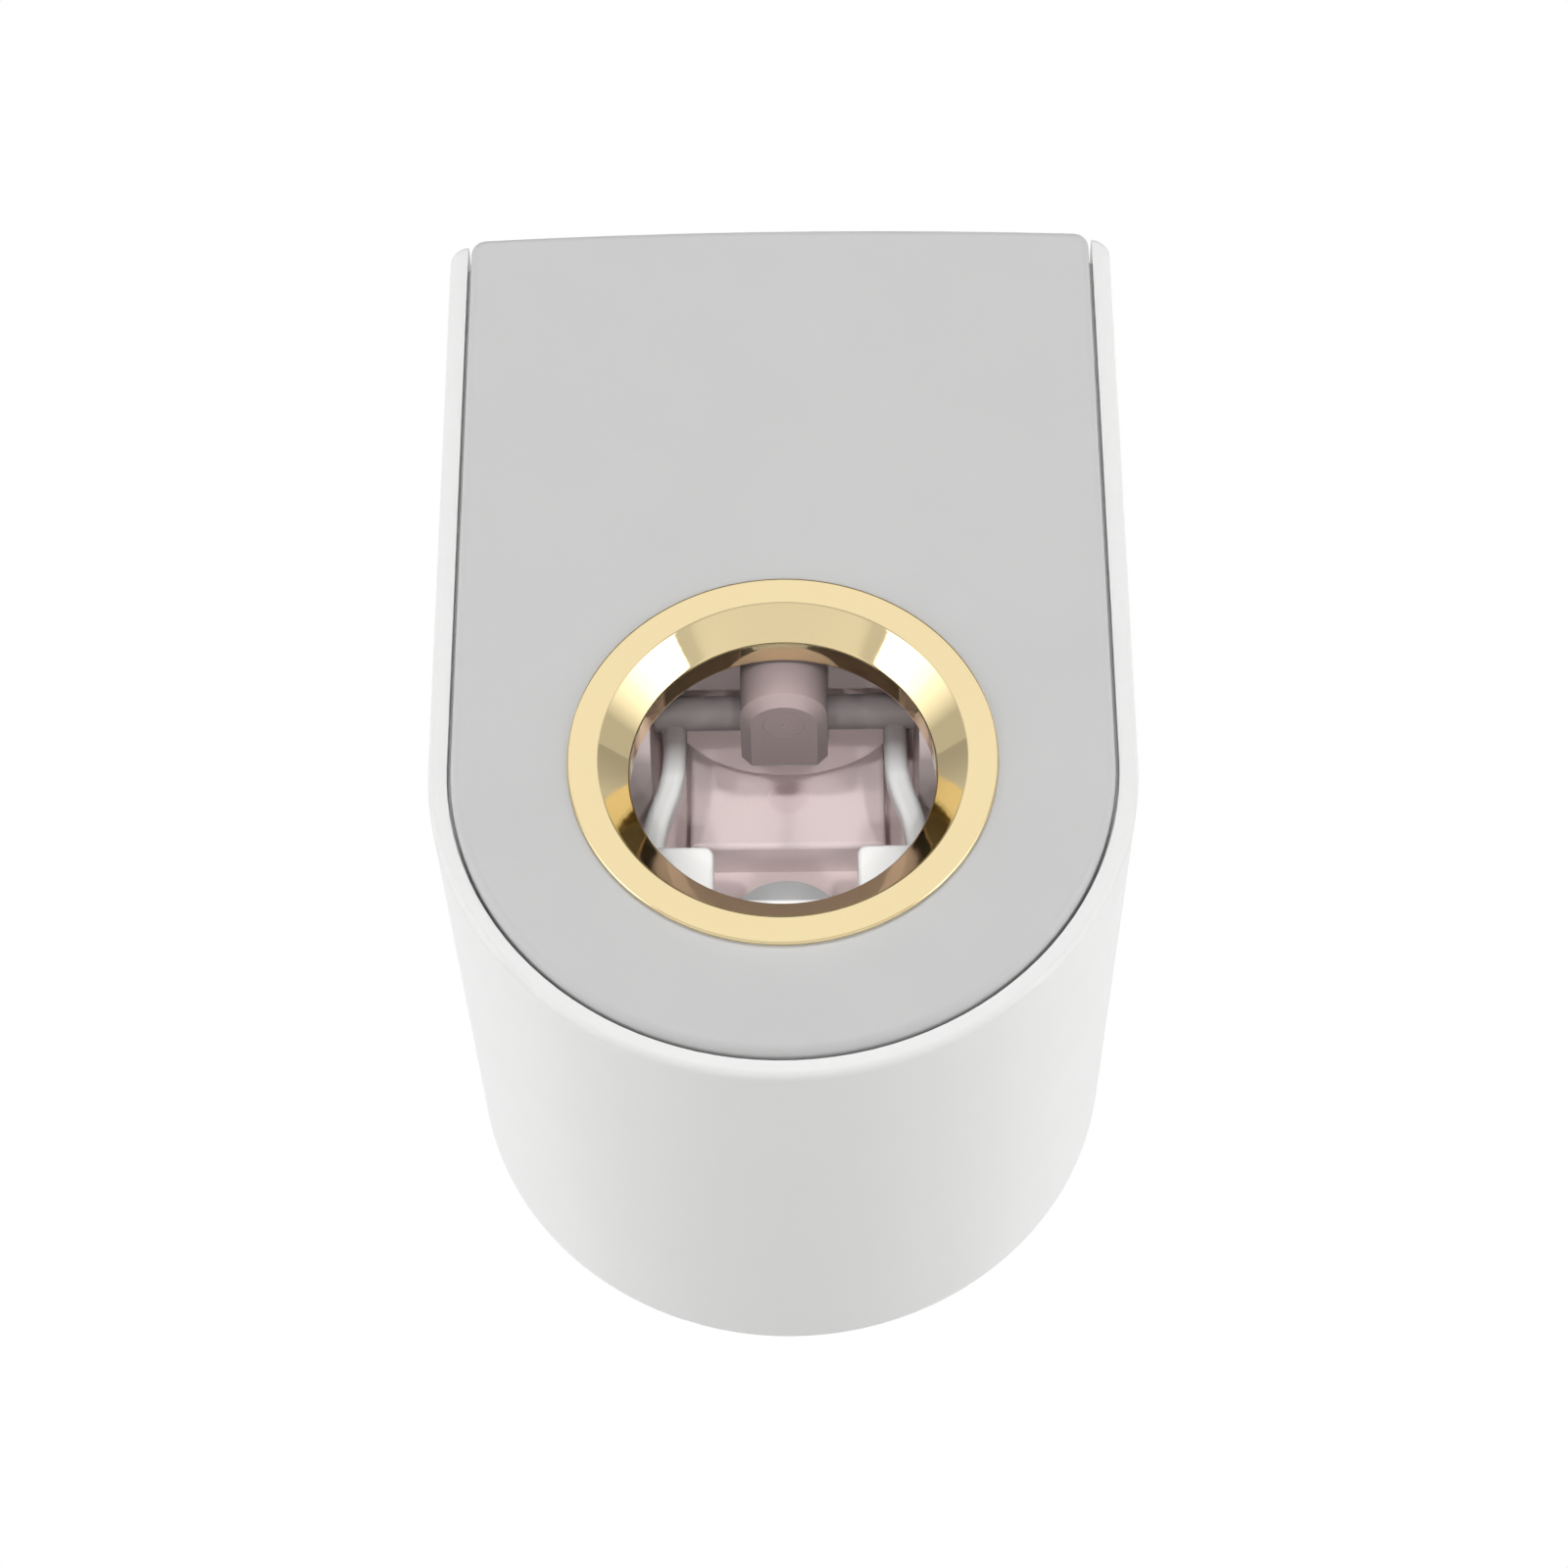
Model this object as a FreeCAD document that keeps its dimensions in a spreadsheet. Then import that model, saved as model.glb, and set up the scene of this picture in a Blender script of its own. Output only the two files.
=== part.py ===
import FreeCAD, Part
import math
import os
from types import SimpleNamespace

import Sketcher
from FreeCAD import Placement, Rotation, Vector

# A wall-mounted toothpaste dispenser worked by pushing a toothbrush into its ring.
# X runs to the right, Y towards the wall and Z up, in millimetres, from the centre of the wall face.
# Heights are above the axis of the ring and depths are behind the face of the cover, unless said otherwise.

SIZES = {
    # casing
    "shell_width": 66.0,
    "shell_draft": 1.2,
    "shell_depth": 58.0,
    "shell_top": 61.9,
    "shell_wall": 1.8,
    "back_wall": 2.4,
    "top_wall": 2.4,
    "rim_round": 0.7,
    "back_round": 1.5,
    "corner_round": 2.0,
    "wall_gap": 0.6,
    # cover and its slide
    "seam_gap": 0.35,
    "cover_proud": 0.9,
    "cover_thick": 2.4,
    "cover_round": 0.9,
    "cover_corner": 1.5,
    "cover_overhang": 0.1,
    "cover_crown": 0.8,
    "lip_width": 2.0,
    "lip_thick": 1.8,
    "slide_gap": 0.2,
    "rail_thick": 1.4,
    "rail_low": 6.0,
    "rail_length": 50.0,
    "skirt_thick": 2.2,
    "catch_width": 1.6,
    "catch_gap": 0.15,
    # gold ring
    "ring_flange_radius": 20.0,
    "ring_mouth_radius": 17.2,
    "ring_throat_radius": 14.3,
    "ring_proud": 0.5,
    "ring_round": 0.3,
    "ring_cone_depth": 2.6,
    "ring_throat_length": 3.1,
    "ring_sleeve_wall": 0.7,
    "ring_neck_wall": 1.6,
    "ring_shoulder": 0.6,
    "ring_fit": 0.1,
    "retainer_radius": 21.0,
    "retainer_thick": 2.0,
    # wall bracket
    "adhesive_thick": 0.8,
    "adhesive_margin": 2.0,
    "plate_thick": 2.0,
    "plate_width": 40.0,
    "plate_height": 52.0,
    "plate_corner": 4.0,
    "hang_gap": 0.3,
    "hook_width": 6.0,
    "hook_height": 4.0,
    "hook_rise": 4.5,
    "hook_thick": 1.8,
    "hook_spread": 26.0,
    "hook_pitch": 30.0,
    "hook_lift": 5.0,
    "recess_margin": 1.2,
    "recess_wall": 2.2,
    "recess_rim": 2.2,
    "boss_height": 2.9,
    "boss_radius": 3.0,
    # chassis
    "chassis_thick": 2.2,
    "chassis_width": 48.0,
    "chassis_drop": 13.0,
    "chassis_rise": 46.5,
    "chassis_corner": 3.0,
    "screw_edge": 4.0,
    "screw_low": 8.0,
    "screw_high": 41.0,
    "panel_width": 20.2,
    "panel_low": 17.0,
    "panel_high": 34.0,
    "panel_round": 0.6,
    "mark_radius": 2.0,
    "mark_height": 23.0,
    "mark_depth": 0.15,
    "cheek_gap": 26.4,
    "cheek_thick": 2.4,
    "cheek_low": 13.0,
    "cheek_nose": 3.4,
    "cheek_round": 4.0,
    "lug_seat": 31.6,
    "post_radius": 2.3,
    "post_length": 10.0,
    "sleeve_grip": 3.2,
    "sleeve_wall": 1.4,
    "sleeve_fit": 0.1,
    # screws
    "chassis_screw_radius": 1.0,
    "pump_screw_radius": 0.8,
    "screw_grip": 6.0,
    "thread_fit": 0.05,
    "screw_clearance": 0.25,
    "head_height": 1.3,
    "head_margin": 1.0,
    "recess_slot": 0.5,
    # pump
    "base_height": 24.0,
    "base_floor": 2.5,
    "cap_radius": 11.4,
    "cap_wall": 1.0,
    "cap_length": 7.0,
    "cap_round": 0.5,
    "cap_gap": 0.4,
    "thread_gap": 0.1,
    "chamber_radius": 8.4,
    "chamber_top": 39.6,
    "roof_thick": 2.4,
    "cup_radius": 10.3,
    "cup_wall": 2.0,
    "cup_gap": 0.3,
    "lug_thick": 2.4,
    "lug_width": 10.0,
    "lug_reach": 18.2,
    "port_radius": 1.9,
    "port_drop": 2.2,
    "port_pad_width": 16.0,
    "port_pad_height": 6.0,
    "inlet_hole_radius": 1.1,
    "inlet_hole_circle": 3.4,
    # plunger, diaphragm and valves
    "stem_radius": 2.2,
    "stem_fit": 0.08,
    "stem_tip": 20.35,
    "stem_round": 1.6,
    "head_low": 27.6,
    "plunger_head_radius": 6.0,
    "plunger_head_height": 2.4,
    "plunger_head_round": 0.5,
    "skin_thick": 0.8,
    "skin_gap": 0.4,
    "skin_top_gap": 0.1,
    "skin_inset": 0.1,
    "skin_flare": 1.5,
    "valve_radius": 5.2,
    "valve_edge": 0.3,
    "valve_cone": 0.6,
    "valve_gap": 0.05,
    "valve_stem_radius": 1.2,
    "valve_stem_fit": 0.1,
    "valve_bulb_radius": 1.9,
    "valve_bulb_length": 1.4,
    # tube socket
    "socket_radius": 6.0,
    "socket_length": 15.6,
    "socket_flare": 1.4,
    "seal_fit": 0.1,
    "seal_flange_radius": 12.5,
    "seal_flange_thick": 1.2,
    "seal_edge": 0.3,
    # nozzle
    "nozzle_width": 8.4,
    "nozzle_standoff": 1.8,
    "nozzle_gap": 0.5,
    "nozzle_low": 10.8,
    "nozzle_chamfer": 1.0,
    "nozzle_bore_radius": 2.0,
    "nozzle_flange_thick": 2.0,
    "nozzle_screw_spread": 12.4,
    "slit_flange_radius": 3.6,
    "slit_flange_thick": 0.85,
    "slit_body_radius": 2.2,
    "slit_tip_radius": 0.5,
    "slit_tip_hole": 0.15,
    "slit_bore_radius": 1.5,
    "slit_gap": 0.1,
    "slit_room": 0.7,
    "spout_fit": 0.03,
    "spout_wall": 0.5,
    "spout_floor": 0.5,
    "spout_length": 3.0,
    "spout_opening": 0.2,
    # trigger and its pin
    "pivot_height": 18.3,
    "bar_gap": 0.45,
    "pin_radius": 1.0,
    "pin_fit": 0.05,
    "pin_seat_fit": 0.03,
    "pin_end": 1.6,
    "clip_groove_depth": 0.3,
    "clip_groove_width": 0.7,
    "clip_thick": 0.6,
    "clip_radius": 2.2,
    "clip_gap": 0.3,
    "bar_radius": 1.75,
    "bar_end_gap": 0.4,
    "arm_front": 0.3,
    "arm_thick": 3.2,
    "arm_width": 2.3,
    "arm_top_offset": 10.85,
    "arm_low_offset": 12.95,
    "arm_bend_high": 13.8,
    "arm_bend_low": 2.3,
    "arm_round": 0.9,
    "heel_rise": 3.7,
    "feet_top": 2.9,
    "feet_round": 1.0,
    "notch_width": 13.94,
    "notch_floor": 3.1,
    "notch_round": 1.5,
    "paddle_low": 14.0,
    "paddle_thick": 2.3,
    "paddle_corner": 6.0,
    "paddle_round": 0.5,
    "finger_width": 6.8,
    "finger_overlap": 1.3,
    "finger_tip_thick": 1.1,
    "finger_root_thick": 3.2,
    "stop_gap": 0.3,
    "stop_low": 2.3,
    "stop_height": 1.8,
    "stop_length": 2.3,
    "stop_overlap": 1.5,
    # spring caps and springs
    "spring_height": 4.8,
    "spring_cap_radius": 5.9,
    "spring_cap_dome": 14.0,
    "spring_cap_gap": 0.3,
    "spring_cap_length": 16.4,
    "spring_cap_front": 2.4,
    "spring_cap_wall": 1.3,
    "return_wire": 0.7,
    "spring_side_gap": 0.2,
    "pump_wire": 0.6,
    "pump_coil_radius": 6.4,
    "spring_end_gap": 0.05,
    # cuts run past the surface by this much
    "overrun": 1.0,
}
RETURN_TURNS = 9
PUMP_TURNS = 4
INLET_HOLES = 4
NOZZLE_ROOM_SHARE = 0.6
PANEL_RISE_SHARE = 0.68
SLIT_SHARE = 0.74
SLIT_BODY_SHARE = 0.41
TO_FRONT = Rotation(Vector(1, 0, 0), 90)
TO_WALL = Rotation(Vector(1, 0, 0), -90)
SIDEWAYS = Rotation(Vector(0, 1, 0), 90)
UPRIGHT = Rotation()
SIDES = (-1, 1)


class Size:
    """A number with the sheet expression that gives it."""

    def __init__(self, value, text):
        self.value = value
        self.text = text

    def __add__(self, other):
        other = size_of(other)
        return Size(self.value + other.value, f"({self.text} + {other.text})")

    def __sub__(self, other):
        other = size_of(other)
        return Size(self.value - other.value, f"({self.text} - {other.text})")

    def __mul__(self, other):
        other = size_of(other)
        return Size(self.value * other.value, f"({self.text} * {other.text})")

    def __truediv__(self, other):
        other = size_of(other)
        return Size(self.value / other.value, f"({self.text} / {other.text})")

    def __neg__(self):
        return Size(-self.value, f"(0 - {self.text})")


def size_of(number):
    """The number as a Size."""
    if isinstance(number, Size):
        return number
    return Size(float(number), str(number))


doc = FreeCAD.newDocument("toothpaste_dispenser")
sheet = doc.addObject("Spreadsheet::Sheet", "dims")
for row, (alias, number) in enumerate(SIZES.items(), start=1):
    sheet.set(f"A{row}", alias)
    sheet.set(f"B{row}", str(number))
    sheet.setAlias(f"B{row}", alias)
doc.recompute()
dim = SimpleNamespace(**{alias: Size(float(sheet.get(alias)), f"dims.{alias}") for alias in SIZES})
nodes = []


def bind(piece, settings):
    """Set each property of the piece from its sheet expression."""
    for name, size in settings.items():
        piece.setExpression(name, size_of(size).text)


def place(piece, x, y, z, turn=UPRIGHT):
    """Turn the piece and put its own origin at x, y, z."""
    piece.Placement = Placement(Vector(), turn)
    bind(piece, {"Placement.Base.x": x, "Placement.Base.y": y, "Placement.Base.z": z})


def node(label, piece):
    """Name the piece as a sub-part of the assembly."""
    piece.Label = label
    nodes.append(piece)
    return piece


def new_body(label, x, y, z, turn=UPRIGHT):
    """An empty body for one sub-part."""
    body = node(label, doc.addObject("PartDesign::Body", label))
    place(body, x, y, z, turn)
    return body


def new_sketch(body, role, offset=0):
    """A sketch on one of the body's own planes, shifted along the plane's normal."""
    sketch = body.newObject("Sketcher::SketchObject", f"{body.Name}_sketch")
    planes = [feature for feature in body.Origin.OriginFeatures if feature.Role == role]
    sketch.AttachmentSupport = [(planes[0], "")]
    sketch.MapMode = "FlatFace"
    bind(sketch, {"AttachmentOffset.Base.z": offset})
    return sketch


def constrain(sketch, size, *terms):
    """A constraint with a size from the sheet."""
    size = size_of(size)
    index = sketch.addConstraint(Sketcher.Constraint(*terms, size.value))
    sketch.setExpression(f"Constraints[{index}]", size.text)


def pin_point(sketch, line, end, x, y):
    """Hold a point of the sketch at x, y, where None leaves that way free."""
    for size, kind, axis in ((x, "DistanceX", -2), (y, "DistanceY", -1)):
        if isinstance(size, Size):
            constrain(sketch, size, kind, -1, 1, line, end)
        elif size is not None:
            sketch.addConstraint(Sketcher.Constraint("PointOnObject", line, end, axis))


def polygon(sketch, points, dome=None):
    """A closed outline of straight lines; a dome's radius bows the last one."""
    first = sketch.GeometryCount
    count = len(points)
    corners = [Vector(size_of(x).value, size_of(y or 0).value, 0) for x, y in points]
    lines = [Part.LineSegment(corners[i], corners[(i + 1) % count]) for i in range(count)]
    if dome is not None:
        sink = dome.value - math.sqrt(dome.value ** 2 - corners[0].x ** 2)
        corners[0].y = corners[-1].y - sink
        lines[0] = Part.LineSegment(corners[0], corners[1])
        ball = Part.Circle(Vector(0, corners[-1].y - dome.value, 0), Vector(0, 0, 1), dome.value)
        lines[-1] = Part.ArcOfCircle(ball, math.acos(corners[0].x / dome.value), math.pi / 2)
    sketch.addGeometry(lines)
    for i, (x, y) in enumerate(points):
        start, end = (2, 1) if dome is not None and i == count - 1 else (1, 2)
        follower = 2 if dome is not None and i == count - 2 else 1
        next_line = first + (i + 1) % count
        sketch.addConstraint(Sketcher.Constraint("Coincident", first + i, end, next_line, follower))
        pin_point(sketch, first + i, start, x, y)
    if dome is not None:
        sketch.addConstraint(Sketcher.Constraint("PointOnObject", first + count - 1, 3, -2))
        constrain(sketch, dome, "Radius", first + count - 1)


def rectangle(sketch, left, right, low, high):
    """A closed upright rectangle."""
    polygon(sketch, [(left, low), (right, low), (right, high), (left, high)])


def circle(sketch, x, y, radius):
    """A circle at x, y."""
    centre = Vector(size_of(x).value, size_of(y).value, 0)
    index = sketch.addGeometry(Part.Circle(centre, Vector(0, 0, 1), radius.value))
    pin_point(sketch, index, 3, x, y)
    constrain(sketch, radius, "Radius", index)


def half_round(sketch, radius):
    """The lower half of a circle about the sketch origin."""
    ring = Part.Circle(Vector(), Vector(0, 0, 1), radius.value)
    index = sketch.addGeometry(Part.ArcOfCircle(ring, math.pi, 2 * math.pi))
    sketch.addConstraint(Sketcher.Constraint("Coincident", index, 3, -1, 1))
    sketch.addConstraint(Sketcher.Constraint("PointOnObject", index, 1, -1))
    sketch.addConstraint(Sketcher.Constraint("PointOnObject", index, 2, -1))
    constrain(sketch, radius, "Radius", index)
    return index


def arch(sketch, radius, top, crown=None):
    """An outline with a half-round bottom, straight sides and a flat or crowned top."""
    bottom = half_round(sketch, radius)
    side, height = radius.value, top.value
    right = sketch.addGeometry(Part.LineSegment(Vector(side, 0, 0), Vector(side, height, 0)))
    left = sketch.addGeometry(Part.LineSegment(Vector(-side, height, 0), Vector(-side, 0, 0)))
    if crown is None:
        lid = sketch.addGeometry(Part.LineSegment(Vector(side, height, 0), Vector(-side, height, 0)))
        sketch.addConstraint(Sketcher.Constraint("Horizontal", lid))
    else:
        sweep = (radius * radius + crown * crown) / (crown * 2)
        centre = Vector(0, height + crown.value - sweep.value, 0)
        start = math.acos(side / sweep.value)
        ring = Part.Circle(centre, Vector(0, 0, 1), sweep.value)
        lid = sketch.addGeometry(Part.ArcOfCircle(ring, start, math.pi - start))
        sketch.addConstraint(Sketcher.Constraint("PointOnObject", lid, 3, -2))
        constrain(sketch, sweep, "Radius", lid)
    meetings = ((bottom, 2, right, 1), (right, 2, lid, 1), (lid, 2, left, 1), (left, 2, bottom, 1))
    for line, end, other, start in meetings:
        sketch.addConstraint(Sketcher.Constraint("Coincident", line, end, other, start))
    sketch.addConstraint(Sketcher.Constraint("Vertical", right))
    if crown is None:
        sketch.addConstraint(Sketcher.Constraint("Vertical", left))
    constrain(sketch, top, "DistanceY", -1, 1, right, 2)
    if crown is not None:
        constrain(sketch, top, "DistanceY", -1, 1, left, 1)


def band(sketch, outer, inner, top):
    """A U-shaped strip between two half-round outlines, open at the top."""
    arcs = [half_round(sketch, outer), half_round(sketch, inner)]
    ends = []
    for arc, radius in zip(arcs, (outer, inner)):
        for end, side in ((1, -radius.value), (2, radius.value)):
            line = sketch.addGeometry(Part.LineSegment(Vector(side, 0, 0), Vector(side, top.value, 0)))
            sketch.addConstraint(Sketcher.Constraint("Coincident", arc, end, line, 1))
            sketch.addConstraint(Sketcher.Constraint("Vertical", line))
            constrain(sketch, top, "DistanceY", -1, 1, line, 2)
            ends.append(line)
    for outside, inside in ((ends[0], ends[2]), (ends[1], ends[3])):
        points = [sketch.Geometry[line].EndPoint for line in (outside, inside)]
        lid = sketch.addGeometry(Part.LineSegment(*points))
        sketch.addConstraint(Sketcher.Constraint("Coincident", outside, 2, lid, 1))
        sketch.addConstraint(Sketcher.Constraint("Coincident", inside, 2, lid, 2))


def owner(sketch):
    """The body that a sketch belongs to."""
    return sketch.getParentGeoFeatureGroup()


def feature_from(sketch, kind):
    """A body feature on the sketch."""
    made = owner(sketch).newObject(f"PartDesign::{kind}", f"{owner(sketch).Name}_{kind.lower()}")
    made.Profile = sketch
    sketch.Visibility = False
    return made


def pad(sketch, length, reverse=False):
    """Build up from the sketch along its normal, or against it."""
    made = feature_from(sketch, "Pad")
    made.Reversed = reverse
    bind(made, {"Length": length})


def pocket(sketch, length, reverse=False):
    """Cut from the sketch against its normal, or along it."""
    made = feature_from(sketch, "Pocket")
    made.Reversed = reverse
    bind(made, {"Length": length})


def revolve(sketch, kind="Revolution"):
    """A full turn about the sketch's upright axis."""
    made = feature_from(sketch, kind)
    made.ReferenceAxis = (sketch, ["V_Axis"])
    made.Angle = 360


def loft(first, second, kind):
    """A straight-sided body between two sketches."""
    made = feature_from(first, kind)
    made.Sections = [second]
    made.Ruled = True
    second.Visibility = False


def dress(body, kind, size, wanted):
    """Round or chamfer the wanted edges of the body as it stands."""
    doc.recompute()
    base = body.Tip
    names = [f"Edge{i}" for i, edge in enumerate(base.Shape.Edges, start=1) if wanted(edge)]
    made = body.newObject(f"PartDesign::{kind}", f"{body.Name}_{kind.lower()}")
    made.Base = (base, names)
    bind(made, {"Radius" if kind == "Fillet" else "Size": size})


def runs_along(edge, axis):
    """Whether a straight edge is parallel to the axis."""
    straight = edge.Curve.TypeId == "Part::GeomLine"
    return straight and abs(abs(edge.Curve.Direction.dot(axis)) - 1) < TINY_SHARE


def lies_at(edge, axis, height):
    """Whether the whole edge lies in the plane across the axis at the height."""
    reach = [vertex.Point.dot(axis) for vertex in edge.Vertexes] + [edge.CenterOfMass.dot(axis)]
    return max(abs(at - height) for at in reach) < height_slack


def turned(label, points, x, y, z, turn=UPRIGHT):
    """A sub-part turned about its own upright axis from a closed outline of radius and height."""
    body = new_body(label, x, y, z, turn)
    sketch = new_sketch(body, "XZ_Plane")
    polygon(sketch, points)
    revolve(sketch)
    return body


def cylinder(radius, length, x, y, z, turn=UPRIGHT):
    """A plain cylinder."""
    made = doc.addObject("Part::Cylinder", "cylinder")
    bind(made, {"Radius": radius, "Height": length})
    place(made, x, y, z, turn)
    return made


def block(width, depth, height, x, y, z, turn=UPRIGHT):
    """A plain box from its low corner."""
    made = doc.addObject("Part::Box", "block")
    bind(made, {"Length": width, "Width": depth, "Height": height})
    place(made, x, y, z, turn)
    return made


def joined(pieces):
    """Pieces fused into one."""
    made = doc.addObject("Part::MultiFuse", "joined")
    made.Shapes = pieces
    return made


def cut(base, tool):
    """The base with the tool taken away."""
    made = doc.addObject("Part::Cut", "cut")
    made.Base = base
    made.Tool = tool
    return made


def group(label, pieces):
    """Separate solids kept as one sub-part."""
    made = node(label, doc.addObject("Part::Compound", label))
    made.Links = pieces


def screw(radius, length, x, y, z, turn):
    """A screw with a cross-slotted head; its shank starts at x, y, z and runs against its own Z."""
    bore = Rotation(Vector(1, 0, 0), 180)
    shank = cylinder(radius, length, x, y, z, turn * bore)
    head = cylinder(radius + dim.head_margin, dim.head_height, x, y, z, turn)
    turned_axes = [turn.multVec(axis) for axis in (x_axis, y_axis, z_axis)]
    across, along, rise = [[round(part) for part in axis] for axis in turned_axes]
    slot = dim.recess_slot
    reach = radius + dim.head_margin / 2
    pieces = []
    for wide, deep in ((reach, slot / 2), (slot / 2, reach)):
        start = [
            base + (dim.head_height - slot) * rise[i] - wide * across[i] - deep * along[i]
            for i, base in enumerate((size_of(x), size_of(y), size_of(z)))
        ]
        pieces.append(block(wide * 2, deep * 2, slot + dim.overrun, *start, turn))
    return cut(joined([shank, head]), joined(pieces))


def behind(depth):
    """The Y of a depth behind the face of the cover."""
    return face_y + depth


TINY_SHARE = 1e-6
height_slack = dim.overrun.value * TINY_SHARE
x_axis, y_axis, z_axis = Vector(1, 0, 0), Vector(0, 1, 0), Vector(0, 0, 1)

# Places that several pieces share.
half_front = dim.shell_width / 2
half_back = half_front - dim.shell_draft
axis_z = (half_front - dim.shell_top) / 2
face_y = -(dim.wall_gap + dim.shell_depth + dim.cover_proud)
spring_z = axis_z - dim.spring_height
plate_front = dim.adhesive_thick + dim.plate_thick
recess_depth = plate_front + dim.hang_gap - dim.wall_gap
pad_depth = recess_depth + dim.recess_wall
chassis_y = -(dim.wall_gap + pad_depth + dim.boss_height + dim.chassis_thick)
chassis_depth = chassis_y - face_y
ring_back = dim.ring_cone_depth + dim.ring_throat_length - dim.ring_proud
nozzle_front = ring_back + dim.nozzle_standoff
pump_room = chassis_depth - nozzle_front - dim.nozzle_gap - dim.cap_radius * 2
nozzle_back = nozzle_front + pump_room * NOZZLE_ROOM_SHARE
pump_depth = nozzle_back + dim.nozzle_gap + dim.cap_radius
pivot_depth = nozzle_back + dim.bar_gap + dim.bar_radius
pump_y = behind(pump_depth)
pivot_y = behind(pivot_depth)
pivot_z = axis_z + dim.pivot_height
inner_front = half_front - dim.shell_wall
lip_front = dim.cover_thick + dim.slide_gap
rail_back = lip_front + dim.lip_thick + dim.slide_gap * 2 + dim.rail_thick
skirt_back = rail_back + dim.slide_gap * 2
cover_half = inner_front - dim.seam_gap
lip_half = inner_front - dim.lip_width
rail_out = lip_half - dim.slide_gap * 2
ring_sleeve = dim.ring_mouth_radius + dim.ring_sleeve_wall
ring_neck = dim.ring_throat_radius + dim.ring_neck_wall
skin_low = dim.base_height + dim.base_floor
body_low = skin_low + dim.skin_thick
cap_top = dim.base_height + dim.cap_length
thread_radius = dim.cap_radius - dim.cap_wall - dim.thread_gap
roof_top = dim.chamber_top + dim.roof_thick
cup_bore = dim.cup_radius - dim.cup_wall
cup_top = dim.shell_top - dim.top_wall - dim.cup_gap
port_z = dim.chamber_top - dim.port_drop
head_top = dim.head_low + dim.plunger_head_height
skin_inner = dim.plunger_head_radius + dim.skin_gap
skin_outer = skin_inner + dim.skin_thick
skin_under = head_top + dim.skin_top_gap
skin_over = skin_under + dim.skin_thick
post_x = dim.cheek_gap / 2 + dim.cheek_thick + dim.screw_clearance
plate_mid = -axis_z
screw_x = dim.chassis_width / 2 - dim.screw_edge
cap_depth = pivot_depth - dim.arm_front + dim.paddle_thick + dim.spring_cap_gap
sleeve_length = chassis_depth - cap_depth - dim.spring_cap_length + dim.sleeve_grip
panel_rise = (chassis_depth - pump_depth - dim.cap_radius) * PANEL_RISE_SHARE

# The wall bracket: a flat plate with four upturned hooks.
wall_plate = new_body("wall_plate", 0, -dim.adhesive_thick, 0)
sketch = new_sketch(wall_plate, "XZ_Plane")
rectangle(sketch, -dim.plate_width / 2, dim.plate_width / 2, -dim.plate_height / 2, dim.plate_height / 2)
pad(sketch, dim.plate_thick)
dress(wall_plate, "Fillet", dim.plate_corner, lambda edge: runs_along(edge, y_axis))
hook_neck = dim.hang_gap + dim.recess_wall + dim.hang_gap
hook_steps = (
    (dim.hook_height, 0, hook_neck),
    (dim.hook_height + dim.hook_rise, hook_neck, dim.hook_thick),
)
for rise, start, length in hook_steps:
    sketch = new_sketch(wall_plate, "XZ_Plane", dim.plate_thick + start)
    for side in SIDES:
        for row in SIDES:
            left = dim.hook_spread / 2 * side - dim.hook_width / 2
            low = dim.hook_pitch / 2 * row - dim.hook_height / 2
            rectangle(sketch, left, left + dim.hook_width, low, low + rise)
    pad(sketch, length)

# The foam pad that sticks the bracket to the wall.
adhesive_pad = new_body("adhesive_pad", 0, 0, 0)
sketch = new_sketch(adhesive_pad, "XZ_Plane")
pad_half = dim.plate_width / 2 - dim.adhesive_margin
pad_tall = dim.plate_height / 2 - dim.adhesive_margin
rectangle(sketch, -pad_half, pad_half, -pad_tall, pad_tall)
pad(sketch, dim.adhesive_thick)
dress(adhesive_pad, "Fillet", dim.plate_corner - dim.adhesive_margin, lambda edge: runs_along(edge, y_axis))

# The casing: a drafted cup with a half-round bottom, open at the front and along the front of its top.
shell = new_body("shell", 0, -dim.wall_gap, axis_z)
outlines = []
for radius, offset in ((half_back, 0), (half_front, dim.shell_depth)):
    sketch = new_sketch(shell, "XZ_Plane", offset)
    arch(sketch, radius, dim.shell_top)
    outlines.append(sketch)
loft(*outlines, "AdditiveLoft")
top_corner = dim.shell_top.value / 2
half_way = -dim.shell_depth.value / 2
dress(shell, "Fillet", dim.corner_round, lambda edge: abs(edge.CenterOfMass.y - half_way) < height_slack
      and edge.CenterOfMass.z > top_corner)
dress(shell, "Fillet", dim.back_round, lambda edge: lies_at(edge, y_axis, 0))
dress(shell, "Fillet", dim.rim_round, lambda edge: lies_at(edge, y_axis, -dim.shell_depth.value))
outlines = []
for radius, offset in ((half_back - dim.shell_wall, dim.back_wall), (inner_front, dim.shell_depth)):
    sketch = new_sketch(shell, "XZ_Plane", offset)
    arch(sketch, radius, dim.shell_top - dim.top_wall)
    outlines.append(sketch)
loft(*outlines, "SubtractiveLoft")
sketch = new_sketch(shell, "XZ_Plane", dim.shell_depth)
rectangle(sketch, -inner_front, inner_front, 0, dim.shell_top + dim.overrun)
pocket(sketch, skirt_back - dim.cover_proud)
sketch = new_sketch(shell, "XZ_Plane", dim.shell_depth + dim.cover_proud - lip_front - dim.lip_thick)
band(sketch, inner_front + dim.shell_wall / 2, lip_half, dim.shell_top - dim.corner_round)
pad(sketch, dim.lip_thick)
sketch = new_sketch(shell, "XZ_Plane", dim.shell_depth + dim.cover_proud - lip_front)
catch_low = -(inner_front + dim.shell_wall / 2)
rectangle(sketch, -dim.catch_width / 2, dim.catch_width / 2, catch_low, -(cover_half + dim.catch_gap))
pad(sketch, lip_front - dim.cover_proud - dim.rim_round)

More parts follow.
